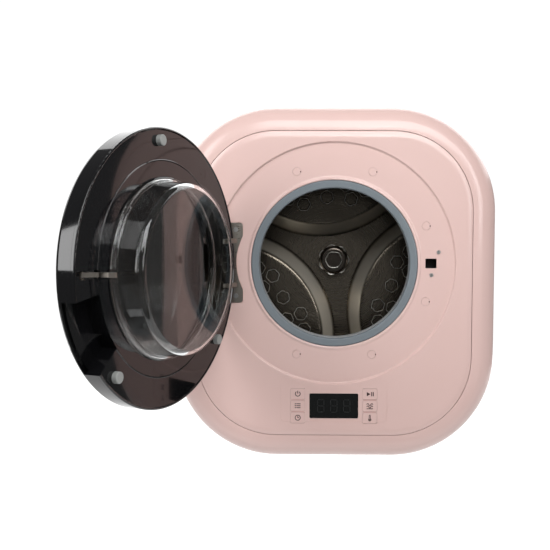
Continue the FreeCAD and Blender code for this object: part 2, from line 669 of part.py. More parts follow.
def latch_hook():
    """Sprung metal hook that drops behind the lock's catch."""
    z = span(DRUM_Z, HOOK_HEIGHT)
    shank = upright([(165.5, -16), (156, 3), (154.5, 20), Bend((154.6, 25), (157, 27)), (159.5, 27),
                     (165, 20.5), (161.3, 19.5),
                     (162.5, 4), (176.5, -10.2)], z)
    eye = rod_z(6.5, LATCH_X, LATCH_DEPTH, z)
    holes = [rod_z(LATCH_PIN_RADIUS + RUNNING_GAP, LATCH_X, LATCH_DEPTH, (z[0] - 1, z[1] + 1)),
             rod_z(1.6, 158.4, 13, (z[0] - 1, z[1] + 1))]
    return join(shank, eye).cut(holes)


def latch_pin():
    pin = rod_z(LATCH_PIN_RADIUS, LATCH_X, LATCH_DEPTH, (DRUM_Z - 14.4, DRUM_Z + 9.6))
    return join(pin, rod_z(3.4, LATCH_X, LATCH_DEPTH, (DRUM_Z + 9.6, DRUM_Z + 10.6)))


def latch_spring():
    """Torsion coil round the latch pin, drawn as closed turns."""
    turns = [Part.makeTorus(3.2, 0.45, at(LATCH_X, LATCH_DEPTH, DRUM_Z - 4.6 - 0.85 * step),
                            Z_AXIS) for step in range(5)]
    tail = rod_x(0.45, (LATCH_X, LATCH_X + 11), LATCH_DEPTH + 3.2, DRUM_Z - 4.6)
    return turns[0].fuse(turns[1:] + [tail])


# ---------------------------------------------------------------- tub and drum


def tub_bolt_places():
    return [polar((TUB_RADIUS + TUB_LIP) / 2 + 0.4, 15.0 + 30.0 * step) for step in range(12)]


def tub_front():
    shape = lathe([(129, 38), (131.9, 38), (131.9, TUB_FRONT), (TUB_RADIUS, TUB_FRONT),
                   (TUB_RADIUS, TUB_SPLIT - 4),
                   (TUB_LIP, TUB_SPLIT - 4), (TUB_LIP, TUB_SPLIT), (TUB_RADIUS - WALL, TUB_SPLIT),
                   (TUB_RADIUS - WALL, TUB_FRONT + WALL), (129, TUB_FRONT + WALL)])
    places = [polar(PANEL_SCREW_PCD / 2, a) for a in PANEL_SCREW_ANGLES]
    shape = shape.fuse([rod(6.5, x, z, (PANEL_BOSS_DEPTH + 0.3, TUB_FRONT + 1)) for x, z in places])
    holes = [rod(2.05, x, z, (10, 32)) for x, z in places]
    holes += [rod(2.1, x, z, (TUB_SPLIT - 5, TUB_SPLIT + 1)) for x, z in tub_bolt_places()]
    return shape.cut(holes).removeSplitter()


def tub_rear():
    start = TUB_SPLIT + 1.0
    wall = TUB_BACK - WALL
    bucket = lathe([(TUB_RADIUS - WALL, start), (TUB_LIP, start), (TUB_LIP, start + 4),
                    (TUB_RADIUS, start + 4),
                    (TUB_RADIUS, TUB_BACK), (29, TUB_BACK), (29, wall), (TUB_RADIUS - WALL, wall)])
    seat = BEARING_RADIUS + 0.02
    first, second = BEARING_DEPTHS
    hub = lathe([(23.5, 202), (30, 202), (30, 252), (seat, 252), (seat, second - 0.1), (20, second - 0.1),
                 (20, first + BEARING_WIDTH + 0.1), (seat, first + BEARING_WIDTH + 0.1),
                 (seat, first - 0.1),
                 (20, first - 0.1), (20, 211.2), (23.5, 211.2)])
    solids = [hub]
    for step in range(8):
        rib = block((28, 206), (wall + 1, TUB_BACK + 14), span(DRUM_Z, 3.0))
        rib.rotate(at(0, 0, DRUM_Z), Y_AXIS, 22.5 + 45.0 * step)
        solids.append(rib)
    solids += [rod(9.0, *polar(POST_RADIUS, a), (wall + 1, REAR_PANEL_DEPTH - 0.3)) for a in POST_ANGLES]
    tub_floor = DRUM_Z - TUB_RADIUS
    solids.append(rod_z(13.5, PUMP_X, PORT_DEPTH, (tub_floor - 20, tub_floor + 5)))
    motor_lug = block((60, 150), (150, 160), (-182, -130)).cut(rod(TUB_RADIUS - 1.5, 0, DRUM_Z, (140, 170)))
    solids.append(motor_lug)
    cuts = [rod_z(11.0, PUMP_X, PORT_DEPTH, (tub_floor - 25, tub_floor + 20))]
    cuts += [rod(2.55, *polar(POST_RADIUS, a), (262, 290)) for a in POST_ANGLES]
    cuts += [rod(2.1, x, z, (start - 1, start + 5)) for x, z in tub_bolt_places()]
    cuts += [rod(3.7, x, heater_z(), (200, 240)) for x in (-14, 14)]
    cuts.append(rod_z(9.4, -45, 150, (230, 260)))
    return bucket.fuse(solids).cut(cuts).removeSplitter()


def tub_seal():
    return lathe([(TUB_RADIUS - 2.4, TUB_SPLIT + 0.1), (TUB_RADIUS + 1.6, TUB_SPLIT + 0.1),
                  (TUB_RADIUS + 1.6, TUB_SPLIT + 0.9),
                  (TUB_RADIUS - 2.4, TUB_SPLIT + 0.9)])


def tub_bolts():
    shapes = []
    for x, z in tub_bolt_places():
        head = rod(3.6, x, z, (TUB_SPLIT - 7.6, TUB_SPLIT - 4.1))
        shapes.append(head.fuse(rod(2.0, x, z, (TUB_SPLIT - 4.2, TUB_SPLIT + 9))))
    return Part.makeCompound(shapes)


def drum_bearings():
    """Two like ball bearings, each an inner ring, an outer ring and a cage of balls."""
    shapes = []
    inner = SHAFT_RADIUS + 0.03
    for depth in BEARING_DEPTHS:
        back = depth + BEARING_WIDTH
        rings = lathe([(inner, depth), (14.2, depth), (14.2, back), (inner, back)])
        rings = rings.fuse(lathe([(19.4, depth), (BEARING_RADIUS, depth), (BEARING_RADIUS, back),
                                  (19.4, back)]))
        cage = lathe([(14.1, depth + 5), (19.5, depth + 5), (19.5, depth + 9), (14.1, depth + 9)])
        places = [polar(16.8, 40.0 * step) for step in range(9)]
        balls = [Part.makeSphere(3.6, at(x, depth + 7, z)) for x, z in places]
        shapes.append(rings.fuse([cage] + balls))
    return Part.makeCompound(shapes)


def shaft_seal():
    return lathe([(JOURNAL_RADIUS + RUNNING_GAP, 206), (14.5, 203), (23.4, 203), (23.4, 211), (14.5, 211),
                  (JOURNAL_RADIUS + RUNNING_GAP, 208)])


def drum_shell():
    """Stainless drum wall with a rolled front lip."""
    return lathe([(DRUM_LIP, DRUM_FRONT + 3),
                  Bend((DRUM_LIP + 1.5, DRUM_FRONT + 0.6), (DRUM_LIP + 4, DRUM_FRONT)),
                  (DRUM_RADIUS - 7, DRUM_FRONT), Bend((DRUM_RADIUS - 2, DRUM_FRONT + 2),
                                                      (DRUM_RADIUS, DRUM_FRONT + 7)),
                  (DRUM_RADIUS, DRUM_END), (DRUM_RADIUS - SHEET, DRUM_END),
                  (DRUM_RADIUS - SHEET, DRUM_FRONT + 7.2),
                  Bend((DRUM_RADIUS - 2.9, DRUM_FRONT + 2.9), (DRUM_RADIUS - 7.2, DRUM_FRONT + SHEET)),
                  (DRUM_LIP + 4, DRUM_FRONT + SHEET), (DRUM_LIP + SHEET, DRUM_FRONT + 3.4)])


def mesa(angle, lift):
    """One of the three wide raised fields on the drum's back, shrunk by lift for its underside."""
    x, z = polar(MESA_OFFSET, angle)
    slope = (MESA_FOOT - MESA_RADIUS) / (BACK_DEPTH - MESA_TOP)
    side = lift * hypot(1, slope)
    top = MESA_TOP + lift
    foot = BACK_DEPTH + SHEET + 1
    top_radius = MESA_RADIUS - side + slope * lift
    foot_radius = top_radius + slope * (foot - top)
    cone = Part.makeCone(foot_radius, top_radius, foot - top, at(x, foot, z), Y_AXIS * -1)
    rim = [e for e in cone.Edges if isinstance(e.Curve,
                                               Part.Circle) and abs(e.Curve.Radius - top_radius) < 0.01]
    return cone.makeFillet(9.0 - lift, rim)


def hexagon(radius, x, z, depth, turn):
    points = [at(x + radius * cos(radians(turn + 60 * i)), depth,
                 z + radius * sin(radians(turn + 60 * i))) for i in range(7)]
    return Part.makePolygon(points)


def hex_ridge(x, z, turn):
    """A low six-sided ridge pressed up from the steel."""
    low, high = MESA_TOP + 0.3, MESA_TOP - 1.6
    outer = Part.makeLoft([hexagon(HEX_RADIUS, x, z, low, turn),
                           hexagon(HEX_RADIUS - 1.9, x, z, high, turn)], True)
    inner = Part.makeLoft([hexagon(HEX_RADIUS - 5.2, x, z, low + 0.1, turn),
                           hexagon(HEX_RADIUS - 3.3, x, z, high - 0.1, turn)], True)
    return outer.cut(inner)


def drum_back():
    floor = rod(DRUM_RADIUS - SHEET - 0.1, 0, DRUM_Z, (BACK_DEPTH, BACK_DEPTH + SHEET))
    floor = floor.cut([mesa(a, 0) for a in MESA_ANGLES] + [rod(JOURNAL_RADIUS + 0.05, 0, DRUM_Z,
                                                               (180, 200))])
    limit = rod(DRUM_RADIUS - SHEET - 0.1, 0, DRUM_Z, (MESA_TOP - 5, BACK_DEPTH + SHEET))
    fields = []
    for angle in MESA_ANGLES:
        fields.append(mesa(angle, 0).cut(mesa(angle, SHEET)).common(limit))
    ridges = []
    for angle in MESA_ANGLES:
        for radius, offsets in HEX_ROWS:
            for offset in offsets:
                ridges.append(hex_ridge(*polar(radius, angle + offset), angle + offset))
    return floor.fuse(fields + ridges).removeSplitter()


def drum_lifters():
    """Three hollow-looking paddles on the drum wall, one in each valley."""
    shapes = []
    for angle in MESA_ANGLES:
        tip = [(159, -7), Bend((156.5, 0), (159, 7)), (193.0, 17), Bend((193.8, 0), (193.0, -17))]
        face = outline(tip, lambda r, s: at(r, DRUM_FRONT + 9, DRUM_Z + s))
        paddle = face.extrude(Y_AXIS * (BACK_DEPTH - DRUM_FRONT - 12))
        paddle.rotate(at(0, 0, DRUM_Z), Y_AXIS, -(angle + 60.0))
        shapes.append(paddle)
    return Part.makeCompound(shapes)


def hub_cap():
    """Seven-lobed cap over the shaft with a six-sided socket."""
    lobes = 7
    steps = 8 * lobes
    ring = []
    for i in range(steps):
        turn = 2 * pi * i / steps
        radius = 27.6 + 1.7 * cos(lobes * turn)
        ring.append(at(radius * cos(turn), 172, DRUM_Z + radius * sin(turn)))
    curve = Part.BSplineCurve()
    curve.interpolate(Points=ring, PeriodicFlag=True)
    body = Part.Face(Part.Wire([curve.toShape()])).extrude(Y_AXIS * (BACK_DEPTH - 172.1))
    dome = lathe([(0, 166), (18, 166), Bend((24, 167.6), (27, 172)), (27, 174), (0, 174)])
    socket = Part.Face(hexagon(15.6, 0, DRUM_Z, 160, 30)).extrude(Y_AXIS * 16)
    nut = Part.Face(hexagon(9.0, 0, DRUM_Z, 169, 0)).extrude(Y_AXIS * 8)
    return join(body.fuse(dome).cut(socket), nut)


def drum_spider():
    """Three-armed cast carrier between the drum's back and the shaft."""
    hub = rod(22, 0, DRUM_Z, (BACK_DEPTH + 2, 201))
    arms = []
    for angle in MESA_ANGLES:
        arm = block((0, 186), (193, 201), span(DRUM_Z, 22.0))
        arm.rotate(at(0, 0, DRUM_Z), Y_AXIS, -(angle + 60.0))
        arms.append(arm)
        foot = block((176, 193.5), (191.6, 197.5), span(DRUM_Z, 46.0))
        foot = foot.common(rod(DRUM_RADIUS - SHEET - 0.2, 0, DRUM_Z, (180, 210)))
        foot.rotate(at(0, 0, DRUM_Z), Y_AXIS, -(angle + 60.0))
        arms.append(foot)
    bore = rod(JOURNAL_RADIUS + 0.02, 0, DRUM_Z, (180, 210))
    return join(hub, *arms).cut(bore)


def drum_shaft():
    steps = [rod(JOURNAL_RADIUS, 0, DRUM_Z, (BACK_DEPTH + 0.5, 213.6)),
             rod(SHAFT_RADIUS, 0, DRUM_Z, (213.5, 276.0))]
    return join(*steps)


def grooved_pulley(radius, hub_radius, x, z, bore):
    """A flat-belt pulley with two low flanges."""
    back = PULLEY_DEPTH + PULLEY_WIDTH
    flange = radius + 4.0
    return lathe([(bore, PULLEY_DEPTH), (hub_radius, PULLEY_DEPTH), (flange, PULLEY_DEPTH),
                  (flange, PULLEY_DEPTH + 1.5),
                  (radius, PULLEY_DEPTH + 2.2), (radius, back - 2.2), (flange, back - 1.5), (flange, back),
                  (bore, back)], x, z)


def drum_pulley():
    wheel = grooved_pulley(PULLEY_RADIUS, 22, 0, DRUM_Z, SHAFT_RADIUS + 0.02)
    cuts = []
    for step in range(5):
        low = 72.0 * step + 11
        opening = sector(30, 98, (low, low + 50), (250, 280))
        cuts.append(opening)
    cuts.append(lathe([(24, 250), (100, 250), (100, 261), (24, 261)]))
    cuts.append(lathe([(24, 268), (100, 268), (100, 280), (24, 280)]))
    return wheel.cut(cuts).removeSplitter()


# ---------------------------------------------------------------- drive


def belt_loop(big, small, depth):
    """The solid inside a belt line drawn round both pulleys."""
    run_x, run_z = MOTOR_X, MOTOR_Z - DRUM_Z
    length = hypot(run_x, run_z)
    heading = atan2(run_z, run_x)
    spread = acos((big - small) / length)
    corners = []
    for cx, cz, radius, side in ((0, DRUM_Z, big, 1), (MOTOR_X, MOTOR_Z, small, 1),
                                 (MOTOR_X, MOTOR_Z, small, -1), (0, DRUM_Z, big, -1)):
        corners.append((cx + radius * cos(heading + side * spread),
                        cz + radius * sin(heading + side * spread)))
    face = outline(corners, lambda x, z: at(x, depth[0], z))
    web = face.extrude(Y_AXIS * (depth[1] - depth[0]))
    return web.fuse([rod(big, 0, DRUM_Z, depth), rod(small, MOTOR_X, MOTOR_Z, depth)])


def drive_belt():
    depth = (PULLEY_DEPTH + 3.0, PULLEY_DEPTH + PULLEY_WIDTH - 3.0)
    reach = BELT_GAP + BELT_THICKNESS
    outer = belt_loop(PULLEY_RADIUS + reach, MOTOR_PULLEY_RADIUS + reach, depth)
    inner = belt_loop(PULLEY_RADIUS + BELT_GAP, MOTOR_PULLEY_RADIUS + BELT_GAP,
                      (depth[0] - 1, depth[1] + 1))
    return outer.cut(inner).removeSplitter()


def motor_body():
    can = lathe([(9, 166), (MOTOR_RADIUS - 6, 166), (MOTOR_RADIUS, 172), (MOTOR_RADIUS, 222),
                 (MOTOR_RADIUS - 6, 228),
                 (18, 228), (18, 236), (5.1, 236), (5.1, 166)], MOTOR_X, MOTOR_Z)
    foot = block((MOTOR_X - 40, MOTOR_X + 25), (161, 167),
                 (-183, -150)).cut(rod(TUB_RADIUS + 1, 0, DRUM_Z, (150, 170)))
    strap = block((MOTOR_X - 40, MOTOR_X + 25), (161, 169), (MOTOR_Z, -178))
    bore = rod(5.06, MOTOR_X, MOTOR_Z, (160, 240))
    return join(can, strap, foot).cut(bore)


def motor_shaft():
    return rod(5.0, MOTOR_X, MOTOR_Z, (168, 275))


def motor_pulley():
    return grooved_pulley(MOTOR_PULLEY_RADIUS, 8, MOTOR_X, MOTOR_Z, 5.02)


# ---------------------------------------------------------------- water


def heater_z():
    return DRUM_Z - 203.5


def heater():
    """U-shaped heating tube under the drum with two terminals behind the tub."""
    z = heater_z()
    legs = [rod(3.0, x, z, (120, 222)) for x in (-14, 14)]
    legs += [rod(1.4, x, z, (221, 234)) for x in (-14, 14)]
    bend = Part.makeTorus(14.0, 3.0, at(0, 120, z), Z_AXIS)
    bend = bend.common(block((-20, 20), (100, 120.05), (z - 5, z + 5)))
    flange = block((-24, 24), (TUB_BACK + 0.3, TUB_BACK + 3.5), (z - 9, z + 9))
    return join(bend, flange, *legs)


def detergent_box():
    box = block(BOX_X, BOX_DEPTH, (BOX_FLOOR, HALF_H - WALL - 0.2))
    inside = block((BOX_X[0] + 2, BOX_X[1] - 2), (BOX_DEPTH[0] + 2, BOX_DEPTH[1] - 2),
                   (BOX_FLOOR + 2, HALF_H))
    spout = rod_z(9.0, -45, 150, (240, BOX_FLOOR + 1))
    inlet = rod_x(5.0, (BOX_X[1] - 1, BOX_X[1] + 12), HOSE_DEPTH, HOSE_Z)
    holes = [inside, rod_z(7.0, -45, 150, (235, BOX_FLOOR + 4)),
             rod_x(3.4, (BOX_X[1] - 4, BOX_X[1] + 14), HOSE_DEPTH, HOSE_Z)]
    return join(box, spout, inlet).cut(holes)


def detergent_lid():
    """Lid whose back edge is a barrel round its pin, so that it clears the shell as it lifts."""
    slab = block(LID_X, (LID_DEPTH[0], LID_PIN_DEPTH), (HALF_H - 2.4, HALF_H))
    slab = round_edges(slab, 5.0, Z_AXIS)
    barrel = rod_x(HALF_H - LID_PIN_Z, (LID_X[0] + 6, LID_X[1] - 6), LID_PIN_DEPTH, LID_PIN_Z)
    pin = rod_x(LID_PIN_RADIUS, (LID_X[0] - 2.4, LID_X[1] + 2.4), LID_PIN_DEPTH, LID_PIN_Z)
    return join(slab, barrel, pin)


def inlet_valve():
    body = block((66, 94), (145, 205), (246, 284))
    body = round_edges(body, 4.0, Z_AXIS)
    thread = rod_z(INLET_THREAD_RADIUS, VALVE_X, VALVE_DEPTH, (300, 316))
    collar = rod_z(INLET_COLLAR_RADIUS, VALVE_X, VALVE_DEPTH, (283, 301))
    spigot = rod_x(5.0, (52, 67), HOSE_DEPTH, HOSE_Z)
    coil = rod(11.0, VALVE_X, 262, (204, 232))
    holes = [rod_z(9.0, VALVE_X, VALVE_DEPTH, (270, 320)), rod_x(3.4, (50, 72), HOSE_DEPTH, HOSE_Z)]
    return join(body, thread, collar, spigot, coil).cut(holes)


def inlet_hose():
    x = (BOX_X[1] + 2, 63.0)
    tube = rod_x(7.6, x, HOSE_DEPTH, HOSE_Z)
    rings = [rod_x(8.6, (at_x, at_x + 4), HOSE_DEPTH, HOSE_Z) for at_x in (x[0] + 3, x[1] - 8)]
    return join(tube, *rings).cut(rod_x(5.1, (x[0] - 1, x[1] + 1), HOSE_DEPTH, HOSE_Z))


def drain_pump_body():
    """Filter housing, impeller chamber and coil in one row behind each other."""
    chamber = lathe([(0, PUMP_DEPTH), (PUMP_RADIUS, PUMP_DEPTH), (PUMP_RADIUS, PUMP_DEPTH + 38),
                     (22, PUMP_DEPTH + 38),
                     (22, PUMP_DEPTH + 70), (0, PUMP_DEPTH + 70)], PUMP_X, PUMP_Z)
    inlet = rod_z(13.5, PUMP_X, PORT_DEPTH, (PUMP_Z + 10, PUMP_Z + 44))
    outlet = rod_x(7.4, (PUMP_X - 38, PUMP_X - 10), PORT_DEPTH, PUMP_Z)
    hollow = lathe([(0, PUMP_DEPTH + 3), (PUMP_RADIUS - 3, PUMP_DEPTH + 3),
                    (PUMP_RADIUS - 3, PUMP_DEPTH + 35),
                    (0, PUMP_DEPTH + 35)], PUMP_X, PUMP_Z)
    holes = [hollow, rod_z(11.0, PUMP_X, PORT_DEPTH, (PUMP_Z + 20, PUMP_Z + 46)),
             rod_x(5.4, (PUMP_X - 40, PUMP_X - 20), PORT_DEPTH, PUMP_Z),
             rod(2.05, PUMP_X, PUMP_Z, (PUMP_DEPTH + 34, PUMP_DEPTH + 60))]
    return join(chamber, inlet, outlet).cut(holes)


def pump_impeller():
    shaft = rod(2.0, PUMP_X, PUMP_Z, (PUMP_DEPTH + 6, PUMP_DEPTH + 58))
    blades = []
    for step in range(6):
        blade = block((PUMP_X, PUMP_X + 18), (PUMP_DEPTH + 10, PUMP_DEPTH + 30), span(PUMP_Z, 2.0))
        blade.rotate(at(PUMP_X, 0, PUMP_Z), Y_AXIS, 60.0 * step)
        blades.append(blade)
    return join(shaft, *blades)


def sump_hose():
    """Short corrugated sleeve from the tub's outlet to the pump."""
    top = DRUM_Z - TUB_RADIUS - 6
    bottom = PUMP_Z + PUMP_RADIUS + 3
    sleeve = rod_z(15.6, PUMP_X, PORT_DEPTH, (bottom, top))
    rings = [rod_z(17.4, PUMP_X, PORT_DEPTH,
                   (bottom + 4 + 8 * step, bottom + 8 + 8 * step)) for step in range(4)]
    return join(sleeve, *rings).cut(rod_z(13.6, PUMP_X, PORT_DEPTH, (bottom - 1, top + 1)))


def drain_pipe():
    """Elbow from the pump to the spigot under the body."""
    radius = DRAIN_RADIUS
    across = rod_x(radius, (DRAIN_X, PUMP_X - 30), PORT_DEPTH, PUMP_Z)
    down = rod_z(radius, DRAIN_X, PORT_DEPTH, (-PORT_REACH, PUMP_Z))
    knee = Part.makeSphere(radius, at(DRAIN_X, PORT_DEPTH, PUMP_Z))
    collar = rod_z(DRAIN_COLLAR_RADIUS, DRAIN_X, PORT_DEPTH, (-300.5, -290))
    bores = [rod_x(7.5, (DRAIN_X, PUMP_X), PORT_DEPTH, PUMP_Z),
             rod_z(7.5, DRAIN_X, PORT_DEPTH, (-PORT_REACH - 1, PUMP_Z)),
             Part.makeSphere(7.5, at(DRAIN_X, PORT_DEPTH, PUMP_Z))]
    return join(across, down, knee, collar).cut(bores)


def power_board():
    tray = block((-165, -105), (70, 180), (-240, -192))
    hollow = block((-163, -107), (72, 178), (-238, -190))
    board = block((-161, -109), (74, 176), (-230, -228.4))
    parts = [block((-155, -135), (90, 120), (-229, -205)), rod_z(8.0, -122, 100, (-229, -204)),
             block((-150, -115), (140, 165), (-229, -214))]
    ribs = [block((-163.5, -106.5), (depth, depth + 4), (-238.5, -229)) for depth in (84, 160)]
    return join(tray.cut(hollow), board, *(parts + ribs))


def mains_gland():
    """Cable gland for the power lead, with a six-sided nut and an open throat."""
    body = rod_z(8.0, GLAND_X, GLAND_DEPTH, (-316, -286))
    nut = rod_z(12.0, GLAND_X, GLAND_DEPTH, (-306, -300.2))
    lock_nut = rod_z(11.5, GLAND_X, GLAND_DEPTH, (-296.8, -292))
    return join(body, nut, lock_nut).cut(rod_z(4.0, GLAND_X, GLAND_DEPTH, (-320, -280)))


FIXED = (cabinet_rim, cabinet_shell, rear_panel, rear_screws, wall_bushes, front_panel, screw_caps,
         front_screws,
         display_window, control_board, door_gasket, gasket_clamp, door_lock, hinge_leaf_body, hinge_pin,
         tub_front, tub_rear, tub_seal, tub_bolts, drum_bearings, shaft_seal, motor_body, drive_belt,
         heater,
         detergent_box, inlet_valve, inlet_hose, drain_pump_body, sump_hose, drain_pipe, power_board,
         mains_gland)
TURNING = (drum_shell, drum_back, drum_lifters, hub_cap, drum_spider, drum_shaft, drum_pulley, motor_shaft,
           motor_pulley, pump_impeller, detergent_lid)
ON_DOOR = (door_frame_inner, door_cover_outer, door_window_outer, door_bowl, bowl_ring, door_bumpers,
           door_screws,
           hinge_leaf_door, latch_hook, latch_pin, latch_spring)


def main():
    os.makedirs("parts", exist_ok=True)
    nodes = {make.__name__: make() for make in FIXED + TURNING}
    for make in ON_DOOR:
        nodes[make.__name__] = swing(make())
    for name, x, z in key_places():
        nodes[name] = key_cap(x, z)
    for name, shape in nodes.items():
        if not shape.isValid() or not all(solid.isClosed() for solid in shape.Solids):
            print("check", name)
        shape.exportStep("parts/" + name + ".step")
    print(len(nodes), "nodes")


main()
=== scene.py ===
"""Finishes and fine shapes for a wall-hung mini washing machine with its round door open.

Metres. +Z is up, the front faces -Y and the wall is the plane y = 0.
"""
from math import cos, radians, sin

import bmesh
import bpy
from mathutils import Matrix, Vector


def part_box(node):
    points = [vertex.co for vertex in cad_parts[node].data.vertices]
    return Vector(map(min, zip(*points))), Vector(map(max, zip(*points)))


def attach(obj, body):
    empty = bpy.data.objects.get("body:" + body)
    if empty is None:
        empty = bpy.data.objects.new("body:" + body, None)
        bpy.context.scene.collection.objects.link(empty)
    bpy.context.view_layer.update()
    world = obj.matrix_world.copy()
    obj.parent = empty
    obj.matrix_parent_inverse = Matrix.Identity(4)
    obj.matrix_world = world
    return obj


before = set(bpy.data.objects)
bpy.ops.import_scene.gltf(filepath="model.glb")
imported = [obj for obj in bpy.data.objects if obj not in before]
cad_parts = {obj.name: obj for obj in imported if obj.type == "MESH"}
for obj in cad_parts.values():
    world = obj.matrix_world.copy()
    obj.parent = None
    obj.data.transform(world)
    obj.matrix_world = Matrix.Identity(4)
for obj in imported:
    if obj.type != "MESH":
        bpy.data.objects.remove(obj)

bl_info = {
    "name": "Wall Washer Looks",
    "version": (1, 0, 0),
    "blender": (4, 5, 0),
    "location": "View3D > Sidebar > Washer",
    "description": "Finishes, printed marks and studio for a wall-hung mini washing machine",
    "category": "Object",
}

MM = 0.001
PRINT = 0.06 * MM               # thickness of a printed mark
BODY_NODES = ("cabinet_rim", "cabinet_shell", "front_panel", "screw_caps", "detergent_lid")
LEFT_KEYS = {"power_key": "power_button", "program_key": "program_button", "delay_key": "delay_button"}
RIGHT_KEYS = {"start_key": "start_button", "rinse_key": "rinse_button", "heat_key": "heat_button"}
KEYS = LEFT_KEYS | RIGHT_KEYS   # each key from the top down, and the body that it moves with
DIGIT_PLACES = (-0.022, 0.0, 0.022)
DIGIT_WIDTH = 0.011             # between the middles of a digit's upright strokes
DIGIT_STROKE = 0.0014
DIGIT_BAR = 8.5 * MM            # length of its level strokes
DIVIDER = (21 * MM, 0.7 * MM)   # length and height of a line between keys
CAP_TURNS = (22.5, 67.5, 112.5, 247.5, 292.5, 337.5)
CAP_CIRCLE = 0.166              # radius of the circle that the screw caps stand on
CAP_SLOT = Vector((6.4, 1.3, 0)) * MM  # from a cap's middle and face to the middle of its slot's floor
CAP_SLOT_SIZE = (1.7 * MM, 2.6 * MM)
CAP_SLOT_FILL = 1.0 * MM        # height of the shade standing on the slot's floor
HUB_EDGE = -0.115               # y of the hub cap's lobed edge
HUB_SOCKET = 5.6 * MM           # from the lobed edge forward to the socket's mouth
# Painted reflection: between these depths the drum's slopes get a lighter, less metallic colour in place of
# the light that they reflect.
SLOPE_FRONT = (-0.1366, -0.131)  # y where a slope starts to brighten behind a field, and is bright
SLOPE_BACK = (-0.0975, -0.108)  # the same in front of a valley
FIELD_TURNS = (96.5, 216.5, 336.5)  # turn of the middle of each raised field on the drum's back
RIDGE_ROWS = (                  # distance from the drum's axis and turns from each field's middle
    (0.1175, (-22.0, 0.0, 22.0)),
    (0.141, (-30.3, -15.2, 15.2, 30.3)),
    (0.165, (-22.0, 0.0, 22.0)),
)
SOFT_BOXES = {                  # place, point that it faces, width and height of each soft light
    "key": ((0.45, -2.4, 1.7), (0.0, -0.3, 0.0), 2.2, 1.4),
    "side": ((-1.7, -1.75, 1.07), (-0.3, -0.6, 1.07), 1.0, 2.05),
    "strip": ((1.6, -1.95, 0.8), (0.25, -0.28, 0.8), 0.3, 1.5),
    "floor_wash": ((0, 6, 2.5), (0, 6, 0), 14, 10),
}
DRUM_LAMP_AT = (0.15, -1.7, 0.6)
DRUM_LAMP_AIM_Y = -0.25
DRUM_LAMP_SPREAD = 9            # degrees
FLOOR_MIDDLE_Y = 3.5
FLOOR_HALF = 5.0
SEEN_AIR = 1.05                 # strength of the white air where the camera sees it
CAMERA_AT = (-0.01008, -1.62875, 0.09307)
CAMERA_YAW, CAMERA_DIP, CAMERA_ROLL = 0.6, 3.15, 0.21  # degrees
CAMERA_SHIFT = (-0.0818, -0.0036)


def middle(node):
    """The middle of a CAD piece at rest."""
    low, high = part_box(node)
    return (low + high) / 2


DRUM_Z = middle("hub_cap").z
KEY_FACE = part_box("power_key")[0].y
CAP_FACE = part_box("screw_caps")[0].y
RIDGE_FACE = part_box("drum_back")[0].y


def screen(red, green, blue):
    """A colour given as a screen shows it, 0 to 255, made linear."""
    parts = []
    for value in (red, green, blue):
        share = value / 255
        parts.append(share / 12.92 if share <= 0.04045 else ((share + 0.055) / 1.055) ** 2.4)
    return (*parts, 1.0)


# ---------------------------------------------------------------- settings


def colour_setting(name, description, default):
    return bpy.props.FloatVectorProperty(name=name, description=description, subtype="COLOR", size=4, min=0,
                                         max=1, default=default)


def length_setting(name, description, low, high, default):
    return bpy.props.FloatProperty(name=name, description=description, subtype="DISTANCE", unit="LENGTH",
                                   min=low, max=high, default=default)


def power_setting(name, description, default):
    return bpy.props.FloatProperty(name=name, description=description, subtype="POWER", min=0, max=3000,
                                   default=default)


def share_setting(name, description, high, default):
    return bpy.props.FloatProperty(name=name, description=description, subtype="FACTOR", min=0, max=high,
                                   default=default)


class WasherColours(bpy.types.PropertyGroup):
    """The colours and gloss that a user would change."""
    body: colour_setting("Body", "Colour of the moulded body", screen(229, 198, 192))
    body_shade: colour_setting("Body shade", "Second tone that clouds the body", screen(224, 191, 184))
    door: colour_setting("Door", "Colour of the glossy door", screen(13, 13, 15))
    gasket: colour_setting("Gasket", "Colour of the door gasket", screen(112, 120, 126))
    # Painted reflection: the lighter colour that the drum's slopes are given in place of the light that
    # they reflect; they are not burnished.
    slope: colour_setting("Drum slopes", "Colour of the drum's burnished slopes", screen(206, 199, 186))
    steel: colour_setting("Drum steel", "Colour of the drum's steel", screen(130, 122, 110))
    legend: colour_setting("Marks", "Colour of the printed marks", screen(58, 38, 38))
    tint: colour_setting("Window tint", "Colour of the door's tinted pane", screen(98, 94, 92))
    body_roughness: share_setting("Body roughness", "Blur of the body's gloss", 1, 0.3)


class WasherMarks(bpy.types.PropertyGroup):
    """Sizes of the marks on the control field."""
    mark_size: length_setting("Mark size", "Height of the sign on each key", 0.004, 0.015, 0.0098)
    line_width: length_setting("Line width", "Width of a printed line", 0.0004, 0.002, 0.0014)
    digit_height: length_setting("Digit height", "Height of the unlit digits", 0.01, 0.03, 0.021)


class WasherStudio(bpy.types.PropertyGroup):
    """The stage, its lights and the camera."""
    lens: bpy.props.FloatProperty(name="Lens", description="Focal length on a 36 mm sensor",
                                  subtype="DISTANCE_CAMERA", min=20, max=120, default=52.47)
    key_power: power_setting("Key light", "Power of the large front light", 49)
    side_power: power_setting("Side light", "Power of the left light", 33)
    strip_power: power_setting("Strip light", "Power of the narrow right light", 10)
    drum_power: power_setting("Drum light", "Power of the spot into the drum", 30)
    floor_power: power_setting("Floor light", "Power of the wide light over the far floor", 900)
    air: share_setting("Room light", "Strength of the even light all round", 2, 0.12)
    floor_z: length_setting("Floor height", "Height of the floor under the machine", -3, 0, -1.5)


# ---------------------------------------------------------------- shader expressions


